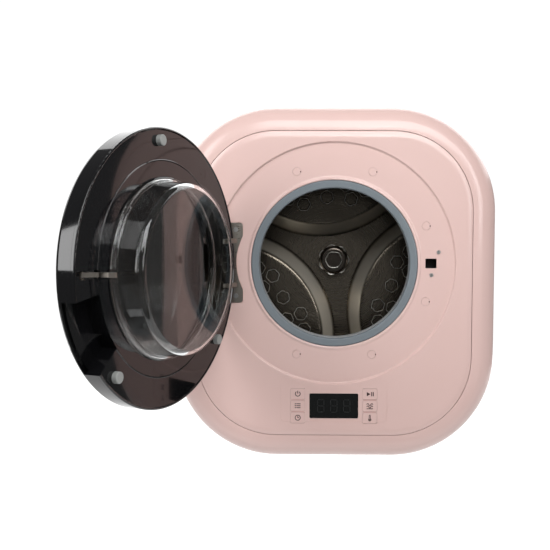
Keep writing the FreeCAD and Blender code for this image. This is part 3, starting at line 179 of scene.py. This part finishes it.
class Signal:
    """A shader socket that can stand in a Python expression."""

    def __init__(self, finish, socket):
        self.finish = finish
        self.socket = socket

    def _math(self, operation, *terms):
        return self.finish.node("ShaderNodeMath", {"operation": operation}, dict(enumerate(terms)))

    def __add__(self, other):
        return self._math("ADD", self, other)

    def __radd__(self, other):
        return self._math("ADD", other, self)

    def __sub__(self, other):
        return self._math("SUBTRACT", self, other)

    def __rsub__(self, other):
        return self._math("SUBTRACT", other, self)

    def __mul__(self, other):
        return self._math("MULTIPLY", self, other)

    def __rmul__(self, other):
        return self._math("MULTIPLY", other, self)

    def __pow__(self, other):
        return self._math("POWER", self, other)

    def angle_to(self, other):
        return self._math("ARCTAN2", self, other)


class Finish:
    """One procedural material, built from expressions on its sockets."""

    def __init__(self, name):
        self.material = bpy.data.materials.new(name)
        self.material.use_nodes = True
        self.tree = self.material.node_tree
        self.tree.nodes.clear()

    def node(self, kind, settings=None, inputs=None, output=0):
        """Adds a node: its settings first, then the values or links of its sockets."""
        made = self.tree.nodes.new(kind)
        for key, value in (settings or {}).items():
            setattr(made, key, value)
        for key, value in (inputs or {}).items():
            if isinstance(value, Signal):
                self.tree.links.new(value.socket, made.inputs[key])
            else:
                made.inputs[key].default_value = value
        return Signal(self, made.outputs[output]) if made.outputs else None

    def place(self):
        return self.node("ShaderNodeTexCoord", output="Object")

    def apart(self, vector):
        """The three numbers of a vector."""
        first = self.node("ShaderNodeSeparateXYZ", inputs={0: vector})
        return [Signal(self, socket) for socket in first.socket.node.outputs]

    def stretched(self, vector, scale):
        return self.node("ShaderNodeMapping", inputs={"Vector": vector, "Scale": scale})

    def noise(self, vector, scale, detail=2.0):
        return self.node("ShaderNodeTexNoise", inputs={"Vector": vector, "Scale": scale, "Detail": detail})

    def ramp(self, value, low, high):
        """Zero below low, one above high, smooth between."""
        return self.node("ShaderNodeMapRange", {"interpolation_type": "SMOOTHSTEP"},
                         {"Value": value, "From Min": low, "From Max": high})

    def blend(self, first, second, share):
        """A colour from first, at share 0, to second, at share 1."""
        return self.node("ShaderNodeMix", {"data_type": "RGBA"}, {0: share, 6: first, 7: second}, output=2)

    def bump(self, height, strength, distance):
        return self.node("ShaderNodeBump",
                         inputs={"Height": height, "Strength": strength, "Distance": distance})

    def surface(self, **inputs):
        """Ends the material in one Principled shader; socket names are given with _ for a space."""
        named = {key.replace("_", " "): value for key, value in inputs.items()}
        shader = self.node("ShaderNodeBsdfPrincipled", inputs=named)
        self.node("ShaderNodeOutputMaterial", inputs={0: shader})
        return self.material


def body_gloss(colours):
    """Glossy pink moulding with a faint cloud and orange peel."""
    finish = Finish("body_gloss")
    where = finish.place()
    cloud = finish.noise(where, 7.0)
    peel = finish.noise(where, 520.0, 1.0)
    return finish.surface(Base_Color=finish.blend(colours.body, colours.body_shade, cloud),
                          Roughness=colours.body_roughness + 0.06 * (cloud - 0.5), Coat_Weight=0.4,
                          Coat_Roughness=0.14, Normal=finish.bump(peel, 0.05, 0.0003))


def door_gloss(colours):
    """Black polished plastic with light handling haze."""
    finish = Finish("door_gloss")
    where = finish.place()
    haze = finish.ramp(finish.noise(where, 9.0, 4.0), 0.45, 0.8)
    dust = finish.ramp(finish.noise(where, 800.0, 1.0), 0.74, 0.8)
    return finish.surface(Base_Color=finish.blend(colours.door, screen(60, 60, 62), dust * 0.5),
                          Roughness=0.05 + 0.07 * haze + 0.2 * dust, Coat_Weight=0.3, Coat_Roughness=0.03,
                          IOR=1.5)


def rubber(name, colour, grain, roughness):
    """Moulded rubber with a fine matt grain and a bloom of dust."""
    finish = Finish(name)
    where = finish.place()
    bloom = finish.noise(where, 18.0, 3.0)
    light = tuple(min(1.0, part * 1.35 + 0.01) for part in colour[:3]) + (1.0,)
    return finish.surface(Base_Color=finish.blend(colour, light, bloom * 0.6),
                          Roughness=roughness + 0.12 * (bloom - 0.5),
                          Normal=finish.bump(finish.noise(where, grain, 2.0), 0.12, 0.0003))


def moulded(name, colour, roughness=0.45):
    """Plain moulded plastic with spark-eroded texture."""
    finish = Finish(name)
    where = finish.place()
    cloud = finish.noise(where, 12.0)
    dark = tuple(part * 0.86 for part in colour[:3]) + (1.0,)
    return finish.surface(Base_Color=finish.blend(colour, dark, cloud),
                          Roughness=roughness + 0.08 * (cloud - 0.5),
                          Normal=finish.bump(finish.noise(where, 900.0, 1.0), 0.15, 0.0002))


def brushed_round(name, colour, bright, centre_z, roughness):
    """Steel brushed in rings round the drum axis and clouded, with a painted reflection on the pressed
    slopes: a lighter, less metallic colour between set depths.
    """
    finish = Finish(name)
    where = finish.place()
    across, along, up = finish.apart(where)
    height = up - centre_z
    radius = (across * across + height * height) ** 0.5
    turn = across.angle_to(height)
    rings = finish.node("ShaderNodeCombineXYZ", inputs={0: radius * 900.0, 1: turn * 3.0, 2: along * 900.0})
    lines = finish.noise(rings, 1.0)
    stain = finish.noise(where, 14.0, 3.0)
    dark = tuple(part * 0.62 for part in colour[:3]) + (1.0,)
    # Painted reflection: a mask that is one on the slopes between the raised fields and the valleys.
    slope = finish.ramp(along, *SLOPE_FRONT) * finish.ramp(along, *SLOPE_BACK)
    return finish.surface(Base_Color=finish.blend(finish.blend(colour, dark, stain), bright, slope),
                          Metallic=1.0 - 0.45 * slope,
                          Roughness=roughness + 0.14 * (lines - 0.5) + 0.08 * (stain - 0.5) + 0.08 * slope,
                          Normal=finish.bump(lines, 0.05, 0.0002))


def metal(name, colour, roughness, scale=60.0):
    """Plated or cast metal with an uneven sheen and fine scratches along X."""
    finish = Finish(name)
    where = finish.place()
    cloud = finish.noise(where, scale, 3.0)
    scratches = finish.noise(finish.stretched(where, (80.0, 1400.0, 1400.0)), 1.0, 2.0)
    dark = tuple(part * 0.7 for part in colour[:3]) + (1.0,)
    return finish.surface(Base_Color=finish.blend(colour, dark, cloud), Metallic=1.0,
                          Roughness=roughness + 0.15 * (cloud - 0.5) + 0.1 * (scratches - 0.5),
                          Normal=finish.bump(scratches, 0.06, 0.0002))


def clear_plastic():
    """Colourless moulded bowl with faint flow marks."""
    finish = Finish("clear_bowl")
    where = finish.place()
    flow = finish.noise(where, 16.0, 3.0)
    return finish.surface(Base_Color=screen(244, 247, 247), Roughness=0.01 + 0.02 * flow,
                          Transmission_Weight=1.0, IOR=1.47, Normal=finish.bump(flow, 0.02, 0.0004))


def tinted_pane(name, colour, clear):
    """Smoke-tinted glossy pane with light handling haze."""
    finish = Finish(name)
    where = finish.place()
    haze = finish.ramp(finish.noise(where, 10.0, 4.0), 0.4, 0.8)
    return finish.surface(Base_Color=colour, Roughness=0.03 + 0.06 * haze, Transmission_Weight=clear,
                          IOR=1.49)


def ink(name, colour):
    """Printed ink with slightly uneven cover."""
    finish = Finish(name)
    cover = finish.noise(finish.place(), 1500.0, 1.0)
    light = tuple(min(1.0, part * 1.3) for part in colour[:3]) + (1.0,)
    return finish.surface(Base_Color=finish.blend(colour, light, cover), Roughness=0.5)


def board(name):
    """Circuit board: solder mask with copper runs showing through."""
    finish = Finish(name)
    where = finish.place()
    runs = finish.node("ShaderNodeTexVoronoi", {"feature": "DISTANCE_TO_EDGE"},
                       {"Vector": where, "Scale": 180.0})
    track = finish.ramp(runs, 0.02, 0.12)
    return finish.surface(Base_Color=finish.blend(screen(64, 130, 84), screen(22, 84, 52), track),
                          Roughness=0.35 + 0.1 * track)


def coat(finish, *names):
    """Gives CAD pieces a finish."""
    for name in names:
        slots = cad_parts[name].data.materials
        slots.clear()
        slots.append(finish)


# ---------------------------------------------------------------- shapes


def piece(name, bm, finish, body):
    """Makes an object of a bmesh, gives it a finish and sets it on its body."""
    bmesh.ops.remove_doubles(bm, verts=bm.verts, dist=1e-7)
    bmesh.ops.recalc_face_normals(bm, faces=bm.faces)
    mesh = bpy.data.meshes.new(name)
    bm.to_mesh(mesh)
    bm.free()
    mesh.materials.append(finish)
    made = bpy.data.objects.new(name, mesh)
    bpy.context.scene.collection.objects.link(made)
    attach(made, body)


def bar(bm, x, z, width, height, thick=PRINT):
    """A flat printed bar standing on the plane y = 0."""
    made = bmesh.ops.create_cube(bm, size=1.0)["verts"]
    bmesh.ops.scale(bm, vec=(width, thick, height), verts=made)
    bmesh.ops.translate(bm, vec=(x, -thick / 2, z), verts=made)


def arc(bm, x, z, radius, width, start=0.0, sweep=360.0, steps=40):
    """A flat printed ring, or part of one, turned about its own middle."""
    low, high = radius - width / 2, radius + width / 2
    section = ((low, 0), (high, 0), (high, -PRINT), (low, -PRINT))
    corners = [bm.verts.new((x + out, y, z)) for out, y in section]
    end = bm.faces.new(corners)
    bmesh.ops.rotate(bm, cent=(x, 0, z), matrix=Matrix.Rotation(radians(-start), 3, "Y"), verts=corners)
    full = sweep >= 360
    edges = list(end.edges)
    if full:
        bmesh.ops.delete(bm, geom=[end], context="FACES_ONLY")
        source = corners + edges
    else:
        source = corners + edges + [end]
    bmesh.ops.spin(bm, geom=source, cent=(x, 0, z), axis=(0, -1, 0), angle=radians(sweep),
                   steps=max(4, int(steps * sweep / 360)), use_merge=full)


def disc(bm, x, z, radius):
    """A flat printed dot."""
    made = bmesh.ops.create_cone(bm, cap_ends=True, segments=24, radius1=radius, radius2=radius,
                                 depth=PRINT)["verts"]
    bmesh.ops.rotate(bm, matrix=Matrix.Rotation(radians(90), 3, "X"), verts=made)
    bmesh.ops.translate(bm, vec=(x, -PRINT / 2, z), verts=made)


def triangle(bm, x, z, size):
    """A play triangle that points right."""
    made = bmesh.ops.create_cone(bm, cap_ends=True, segments=3, radius1=size, radius2=size,
                                 depth=PRINT)["verts"]
    bmesh.ops.rotate(bm, matrix=Matrix.Rotation(radians(90), 3, "X"), verts=made)
    bmesh.ops.rotate(bm, matrix=Matrix.Rotation(radians(90), 3, "Y"), verts=made)
    bmesh.ops.translate(bm, vec=(x, -PRINT / 2, z), verts=made)


def wire(bm, path, radius, sides=8):
    """A round wire along a closed path that lies flat, with a flat of its section facing -Y."""
    curve = bpy.data.curves.new("wire", "CURVE")
    curve.dimensions = "3D"
    curve.bevel_depth = radius
    curve.bevel_resolution = sides // 2 - 2
    line = curve.splines.new("POLY")
    line.points.add(len(path) - 1)
    for spot, place in zip(line.points, path):
        spot.co = (*place, 1.0)
        spot.tilt = radians(90)
    line.use_cyclic_u = True
    line.use_smooth = False
    swept = bpy.data.objects.new("wire", curve)
    mesh = bpy.data.meshes.new_from_object(swept)
    bm.from_mesh(mesh)
    bpy.data.objects.remove(swept)
    bpy.data.curves.remove(curve)
    bpy.data.meshes.remove(mesh)


def polar(radius, turn, centre):
    """A point at a distance and a turn, in degrees, round a centre, at the centre's y."""
    return centre + Vector((radius * cos(radians(turn)), 0, radius * sin(radians(turn))))


def lobed(radius, swell, lobes, centre, start=0.0, steps=56):
    """A closed path whose radius swells and shrinks a number of times on its way round."""
    turns = [360 * step / steps for step in range(steps)]
    return [polar(radius + swell * cos(radians(lobes * turn)), turn + start, centre) for turn in turns]


def power_sign(bm, size, line):
    arc(bm, 0, 0, size * 0.42, line, 125, 290)
    bar(bm, 0, size * 0.28, line, size * 0.5)


def program_sign(bm, size, line):
    for step in (-1, 0, 1):
        disc(bm, -size * 0.42, step * size * 0.34, line * 0.75)
        bar(bm, size * 0.12, step * size * 0.34, size * 0.72, line)


def delay_sign(bm, size, line):
    arc(bm, 0, 0, size * 0.44, line)
    bar(bm, 0, size * 0.13, line, size * 0.3)
    bar(bm, size * 0.1, 0, size * 0.24, line)


def start_sign(bm, size, line):
    triangle(bm, -size * 0.32, 0, size * 0.42)
    for step in (0.3, 0.58):
        bar(bm, size * step, 0, line * 1.2, size * 0.72)


def rinse_sign(bm, size, line):
    for row in (0.26, -0.14):
        for step in (-1, 0, 1):
            start = 0 if step % 2 else 180
            arc(bm, step * size * 0.34, row * size, size * 0.17, line * 0.9, start, 180, steps=24)
    bar(bm, 0, -size * 0.46, size * 1.1, line)


def heat_sign(bm, size, line):
    arc(bm, 0, -size * 0.28, size * 0.2, line, 115, 310)
    for side in (-1, 1):
        bar(bm, side * size * 0.1, size * 0.16, line * 0.8, size * 0.56)
    arc(bm, 0, size * 0.42, size * 0.1, line * 0.8, 0, 180, steps=24)
    disc(bm, 0, -size * 0.28, size * 0.1)


SIGNS = {"power_key": power_sign, "program_key": program_sign, "delay_key": delay_sign,
         "start_key": start_sign, "rinse_key": rinse_sign, "heat_key": heat_sign}


def key_signs(marks, finish):
    """The sign on each key, moving with it."""
    for key, body in KEYS.items():
        bm = bmesh.new()
        SIGNS[key](bm, marks.mark_size, marks.line_width)
        place = middle(key)
        bmesh.ops.translate(bm, vec=(place.x, KEY_FACE, place.z), verts=bm.verts)
        piece(key.replace("key", "sign"), bm, finish, body)


def key_dividers(finish):
    """A fine line between each key and the next one down."""
    bm = bmesh.new()
    for column in (list(LEFT_KEYS), list(RIGHT_KEYS)):
        for upper, lower in zip(column, column[1:]):
            place = (middle(upper) + middle(lower)) / 2
            bar(bm, place.x, place.z, *DIVIDER)
    bmesh.ops.translate(bm, vec=(0, KEY_FACE, 0), verts=bm.verts)
    piece("key_dividers", bm, finish, "cabinet")


def display_digits(tall, finish):
    """Three unlit digits, faint on the display's pane."""
    bm = bmesh.new()
    for place in DIGIT_PLACES:
        for end in (-1, 0, 1):
            bar(bm, place, end * tall / 2, DIGIT_BAR, DIGIT_STROKE)
        for side in (-1, 1):
            for end in (-1, 1):
                bar(bm, place + side * DIGIT_WIDTH / 2, end * tall / 4, DIGIT_STROKE, tall * 0.4)
    bmesh.ops.translate(bm, vec=(0, KEY_FACE + 0.02 * MM, middle("display_window").z), verts=bm.verts)
    piece("display_digits", bm, finish, "cabinet")


def painted_cap_slot_shade(finish):
    """Painted shade: a dark block standing in the slot at the right of each screw cap."""
    bm = bmesh.new()
    for turn in CAP_TURNS:
        place = polar(CAP_CIRCLE, turn, Vector((0, 0, DRUM_Z))) + CAP_SLOT
        bar(bm, place.x, place.z, *CAP_SLOT_SIZE, CAP_SLOT_FILL)
    bmesh.ops.translate(bm, vec=(0, CAP_FACE + CAP_SLOT.y, 0), verts=bm.verts)
    piece("painted_cap_slot_shade", bm, finish, "cabinet")


def hub_bezels(finish):
    """The lobed edge of the hub cap and the edge of its socket, as round wires in a lighter metal whose
    brightness is a painted highlight.
    """
    bm = bmesh.new()
    wire(bm, lobed(26.8 * MM, 1.7 * MM, 7, Vector((0, HUB_EDGE, DRUM_Z))), 1.2 * MM)
    wire(bm, lobed(15.0 * MM, 0.4 * MM, 6, Vector((0, HUB_EDGE - HUB_SOCKET, DRUM_Z))), 0.9 * MM)
    piece("hub_bezels", bm, finish, "drum")


def ridge_edges(finish):
    """The six-sided edge of every ridge on the drum's raised fields, as round wires in a lighter metal
    whose brightness is a painted highlight.
    """
    bm = bmesh.new()
    axis = Vector((0, RIDGE_FACE, DRUM_Z))
    for field in FIELD_TURNS:
        for radius, offsets in RIDGE_ROWS:
            for turn in [field + offset for offset in offsets]:
                wire(bm, lobed(11.8 * MM, 0.6 * MM, 6, polar(radius, turn, axis), turn, 36), 0.8 * MM, 6)
    piece("ridge_edges", bm, finish, "drum")


# ---------------------------------------------------------------- operators


class WASHER_OT_body(bpy.types.Operator):
    """Finish the moulded body, its caps, its lid and the back"""
    bl_idname = "washer.body"
    bl_label = "Body"

    def execute(self, context):
        coat(body_gloss(context.scene.washer_colours), *BODY_NODES, *KEYS)
        # Painted shade in the slot of each screw cap.
        painted_cap_slot_shade(ink("slot_shade", screen(78, 30, 28)))
        coat(metal("galvanised", screen(176, 180, 184), 0.42, 25.0), "rear_panel", "gasket_clamp")
        coat(metal("zinc", screen(206, 206, 204), 0.38), "front_screws", "rear_screws", "tub_bolts",
             "door_screws")
        return {"FINISHED"}


class WASHER_OT_marks(bpy.types.Operator):
    """Print the key signs and the lines between them, and set the unlit digits on the display"""
    bl_idname = "washer.marks"
    bl_label = "Marks and display"

    def execute(self, context):
        marks = context.scene.washer_marks
        key_signs(marks, ink("mark_ink", context.scene.washer_colours.legend))
        key_dividers(ink("divider_ink", screen(196, 142, 138)))
        coat(tinted_pane("display_pane", screen(20, 21, 21), 0.0), "display_window")
        display_digits(marks.digit_height, ink("digit_grey", screen(19, 21, 21)))
        return {"FINISHED"}


class WASHER_OT_door(bpy.types.Operator):
    """Finish the polished door, its bumpers, hinge and latch"""
    bl_idname = "washer.door"
    bl_label = "Door"

    def execute(self, context):
        coat(door_gloss(context.scene.washer_colours), "door_frame_inner", "door_cover_outer")
        coat(moulded("lock_black", screen(22, 22, 23), 0.5), "door_lock")
        coat(rubber("bumper_rubber", screen(150, 152, 150), 700.0, 0.6), "door_bumpers")
        coat(metal("fitting_steel", screen(190, 182, 172), 0.3, 30.0), "hinge_leaf_body",
             "hinge_pin", "hinge_leaf_door", "latch_hook", "latch_pin", "latch_spring")
        return {"FINISHED"}


class WASHER_OT_bowl(bpy.types.Operator):
    """Finish the clear bowl, its clamping ring and the tinted pane behind it"""
    bl_idname = "washer.bowl"
    bl_label = "Bowl and window"

    def execute(self, context):
        colours = context.scene.washer_colours
        coat(clear_plastic(), "door_bowl")
        coat(tinted_pane("window_pane", colours.tint, 1.0), "door_window_outer")
        coat(moulded("ring_plastic", screen(40, 41, 43), 0.5), "bowl_ring")
        return {"FINISHED"}


class WASHER_OT_gasket(bpy.types.Operator):
    """Finish the door gasket and the dark rubber parts"""
    bl_idname = "washer.gasket"
    bl_label = "Rubber"

    def execute(self, context):
        coat(rubber("gasket_rubber", context.scene.washer_colours.gasket, 600.0, 0.5), "door_gasket")
        coat(rubber("dark_rubber", screen(38, 38, 40), 500.0, 0.62), "wall_bushes", "tub_seal",
             "shaft_seal", "drive_belt", "inlet_hose", "sump_hose", "drain_pipe", "mains_gland")
        return {"FINISHED"}


class WASHER_OT_drum(bpy.types.Operator):
    """Finish the drum's steel, with a painted reflection on its slopes, and its cap, and set edges in a
    lighter metal, a painted highlight, on the cap and the pressed ridges
    """
    bl_idname = "washer.drum"
    bl_label = "Drum"

    def execute(self, context):
        colours = context.scene.washer_colours
        coat(brushed_round("drum_steel", colours.steel, colours.slope, DRUM_Z, 0.28), "drum_shell",
             "drum_back", "drum_lifters")
        coat(metal("cap_steel", screen(112, 104, 96), 0.2), "hub_cap", "heater")
        # Painted highlight: the round edge wires get a much lighter metal than the drum and its cap,
        # standing in for the glints on their edges.
        highlight_metal = metal("painted_highlight_edge", screen(236, 232, 224), 0.34, 240.0)
        hub_bezels(highlight_metal)
        ridge_edges(highlight_metal)
        return {"FINISHED"}


class WASHER_OT_inside(bpy.types.Operator):
    """Finish the tub, the drive and the water parts inside"""
    bl_idname = "washer.inside"
    bl_label = "Inside"

    def execute(self, context):
        coat(moulded("tub_grey", screen(176, 178, 180), 0.55), "tub_front", "tub_rear")
        coat(moulded("fitting_white", screen(228, 228, 224), 0.4), "detergent_box", "inlet_valve",
             "drain_pump_body", "pump_impeller")
        coat(board("circuit_board"), "control_board", "power_board")
        coat(metal("cast_alloy", screen(168, 170, 172), 0.5, 30.0), "drum_spider", "drum_pulley",
             "motor_pulley")
        coat(metal("ground_steel", screen(190, 190, 190), 0.2), "drum_bearings", "drum_shaft",
             "motor_shaft")
        coat(moulded("motor_black", screen(46, 48, 52), 0.4), "motor_body")
        return {"FINISHED"}


def lamp(name, data, at, aim):
    """Hangs a light at a place, facing a point."""
    made = bpy.data.objects.new(name, data)
    bpy.context.scene.collection.objects.link(made)
    made.location = at
    made.rotation_euler = (Vector(aim) - Vector(at)).to_track_quat("-Z", "Y").to_euler()


def soft_box(name, energy):
    """One of the soft lights of the studio."""
    at, aim, width, height = SOFT_BOXES[name]
    data = bpy.data.lights.new(name, "AREA")
    data.shape = "RECTANGLE"
    data.size = width
    data.size_y = height
    data.energy = energy
    lamp(name, data, at, aim)


def drum_lamp(energy):
    """A narrow spot through the mouth into the drum."""
    data = bpy.data.lights.new("drum_fill", "SPOT")
    data.energy = energy
    data.spot_size = radians(DRUM_LAMP_SPREAD)
    data.spot_blend = 0.3
    data.shadow_soft_size = 0.25
    lamp("drum_fill", data, DRUM_LAMP_AT, (0, DRUM_LAMP_AIM_Y, DRUM_Z))


def white_floor(height):
    """A pale floor below and behind the machine."""
    bm = bmesh.new()
    bmesh.ops.create_grid(bm, x_segments=1, y_segments=1, size=FLOOR_HALF)
    bmesh.ops.translate(bm, vec=(0, FLOOR_MIDDLE_Y, height), verts=bm.verts)
    mesh = bpy.data.meshes.new("floor")
    bm.to_mesh(mesh)
    bm.free()
    finish = Finish("floor_white")
    cloud = finish.noise(finish.place(), 0.8)
    tone = finish.blend(screen(252, 252, 252), screen(249, 249, 249), cloud)
    mesh.materials.append(finish.surface(Base_Color=tone, Roughness=0.9))
    floor = bpy.data.objects.new("floor", mesh)
    bpy.context.scene.collection.objects.link(floor)


def studio_air(strength):
    """White air: full where the camera sees it, and an even, weaker light on the machine."""
    world = bpy.data.worlds.new("studio_air")
    world.use_nodes = True
    tree = world.node_tree
    tree.nodes.clear()
    path = tree.nodes.new("ShaderNodeLightPath")
    mix = tree.nodes.new("ShaderNodeMix")
    mix.inputs[2].default_value = strength
    mix.inputs[3].default_value = SEEN_AIR
    tree.links.new(path.outputs["Is Camera Ray"], mix.inputs[0])
    ground = tree.nodes.new("ShaderNodeBackground")
    ground.inputs["Color"].default_value = (1, 1, 1, 1)
    tree.links.new(mix.outputs[0], ground.inputs["Strength"])
    out = tree.nodes.new("ShaderNodeOutputWorld")
    tree.links.new(ground.outputs[0], out.inputs[0])
    bpy.context.scene.world = world


def front_camera(lens):
    """A camera in front of the machine, a little above its middle."""
    data = bpy.data.cameras.new("camera")
    data.lens = lens
    data.sensor_width = 36
    data.shift_x, data.shift_y = CAMERA_SHIFT
    data.clip_end = 60
    camera = bpy.data.objects.new("camera", data)
    bpy.context.scene.collection.objects.link(camera)
    turn = (Matrix.Rotation(radians(CAMERA_YAW), 4, "Z") @ Matrix.Rotation(radians(90 - CAMERA_DIP), 4, "X")
            @ Matrix.Rotation(radians(CAMERA_ROLL), 4, "Z"))
    camera.matrix_world = Matrix.Translation(CAMERA_AT) @ turn
    bpy.context.scene.camera = camera


class WASHER_OT_stage(bpy.types.Operator):
    """Lay the pale floor, hang the soft lights and set the camera"""
    bl_idname = "washer.stage"
    bl_label = "Stage, lights and camera"

    def execute(self, context):
        studio = context.scene.washer_studio
        white_floor(studio.floor_z)
        studio_air(studio.air)
        soft_box("key", studio.key_power)
        soft_box("side", studio.side_power)
        soft_box("strip", studio.strip_power)
        drum_lamp(studio.drum_power)
        soft_box("floor_wash", studio.floor_power)
        front_camera(studio.lens)
        context.scene.view_settings.view_transform = "Standard"
        return {"FINISHED"}


class WASHER_PT_panel(bpy.types.Panel):
    """Lists the washer's pieces and settings"""
    bl_idname = "WASHER_PT_panel"
    bl_label = "Washer"
    bl_space_type = "VIEW_3D"
    bl_region_type = "UI"
    bl_category = "Washer"

    def draw(self, context):
        layout = self.layout
        for operator in OPERATORS:
            layout.operator(operator.bl_idname)
        for title in GROUPS:
            group = getattr(context.scene, title)
            box = layout.box()
            for name in group.__annotations__:
                box.prop(group, name)


GROUPS = {"washer_colours": WasherColours, "washer_marks": WasherMarks, "washer_studio": WasherStudio}
OPERATORS = (WASHER_OT_body, WASHER_OT_marks, WASHER_OT_door, WASHER_OT_bowl, WASHER_OT_gasket,
             WASHER_OT_drum, WASHER_OT_inside, WASHER_OT_stage)


def register():
    for name, group in GROUPS.items():
        bpy.utils.register_class(group)
        setattr(bpy.types.Scene, name, bpy.props.PointerProperty(type=group))
    for item in OPERATORS + (WASHER_PT_panel,):
        bpy.utils.register_class(item)


def unregister():
    for item in reversed(OPERATORS + (WASHER_PT_panel,)):
        bpy.utils.unregister_class(item)
    for name, group in GROUPS.items():
        delattr(bpy.types.Scene, name)
        bpy.utils.unregister_class(group)


def main():
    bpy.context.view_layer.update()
    register()
    bpy.ops.washer.body()
    bpy.ops.washer.marks()
    bpy.ops.washer.door()
    bpy.ops.washer.bowl()
    bpy.ops.washer.gasket()
    bpy.ops.washer.drum()
    bpy.ops.washer.inside()
    bpy.ops.washer.stage()


if __name__ == "__main__":
    main()
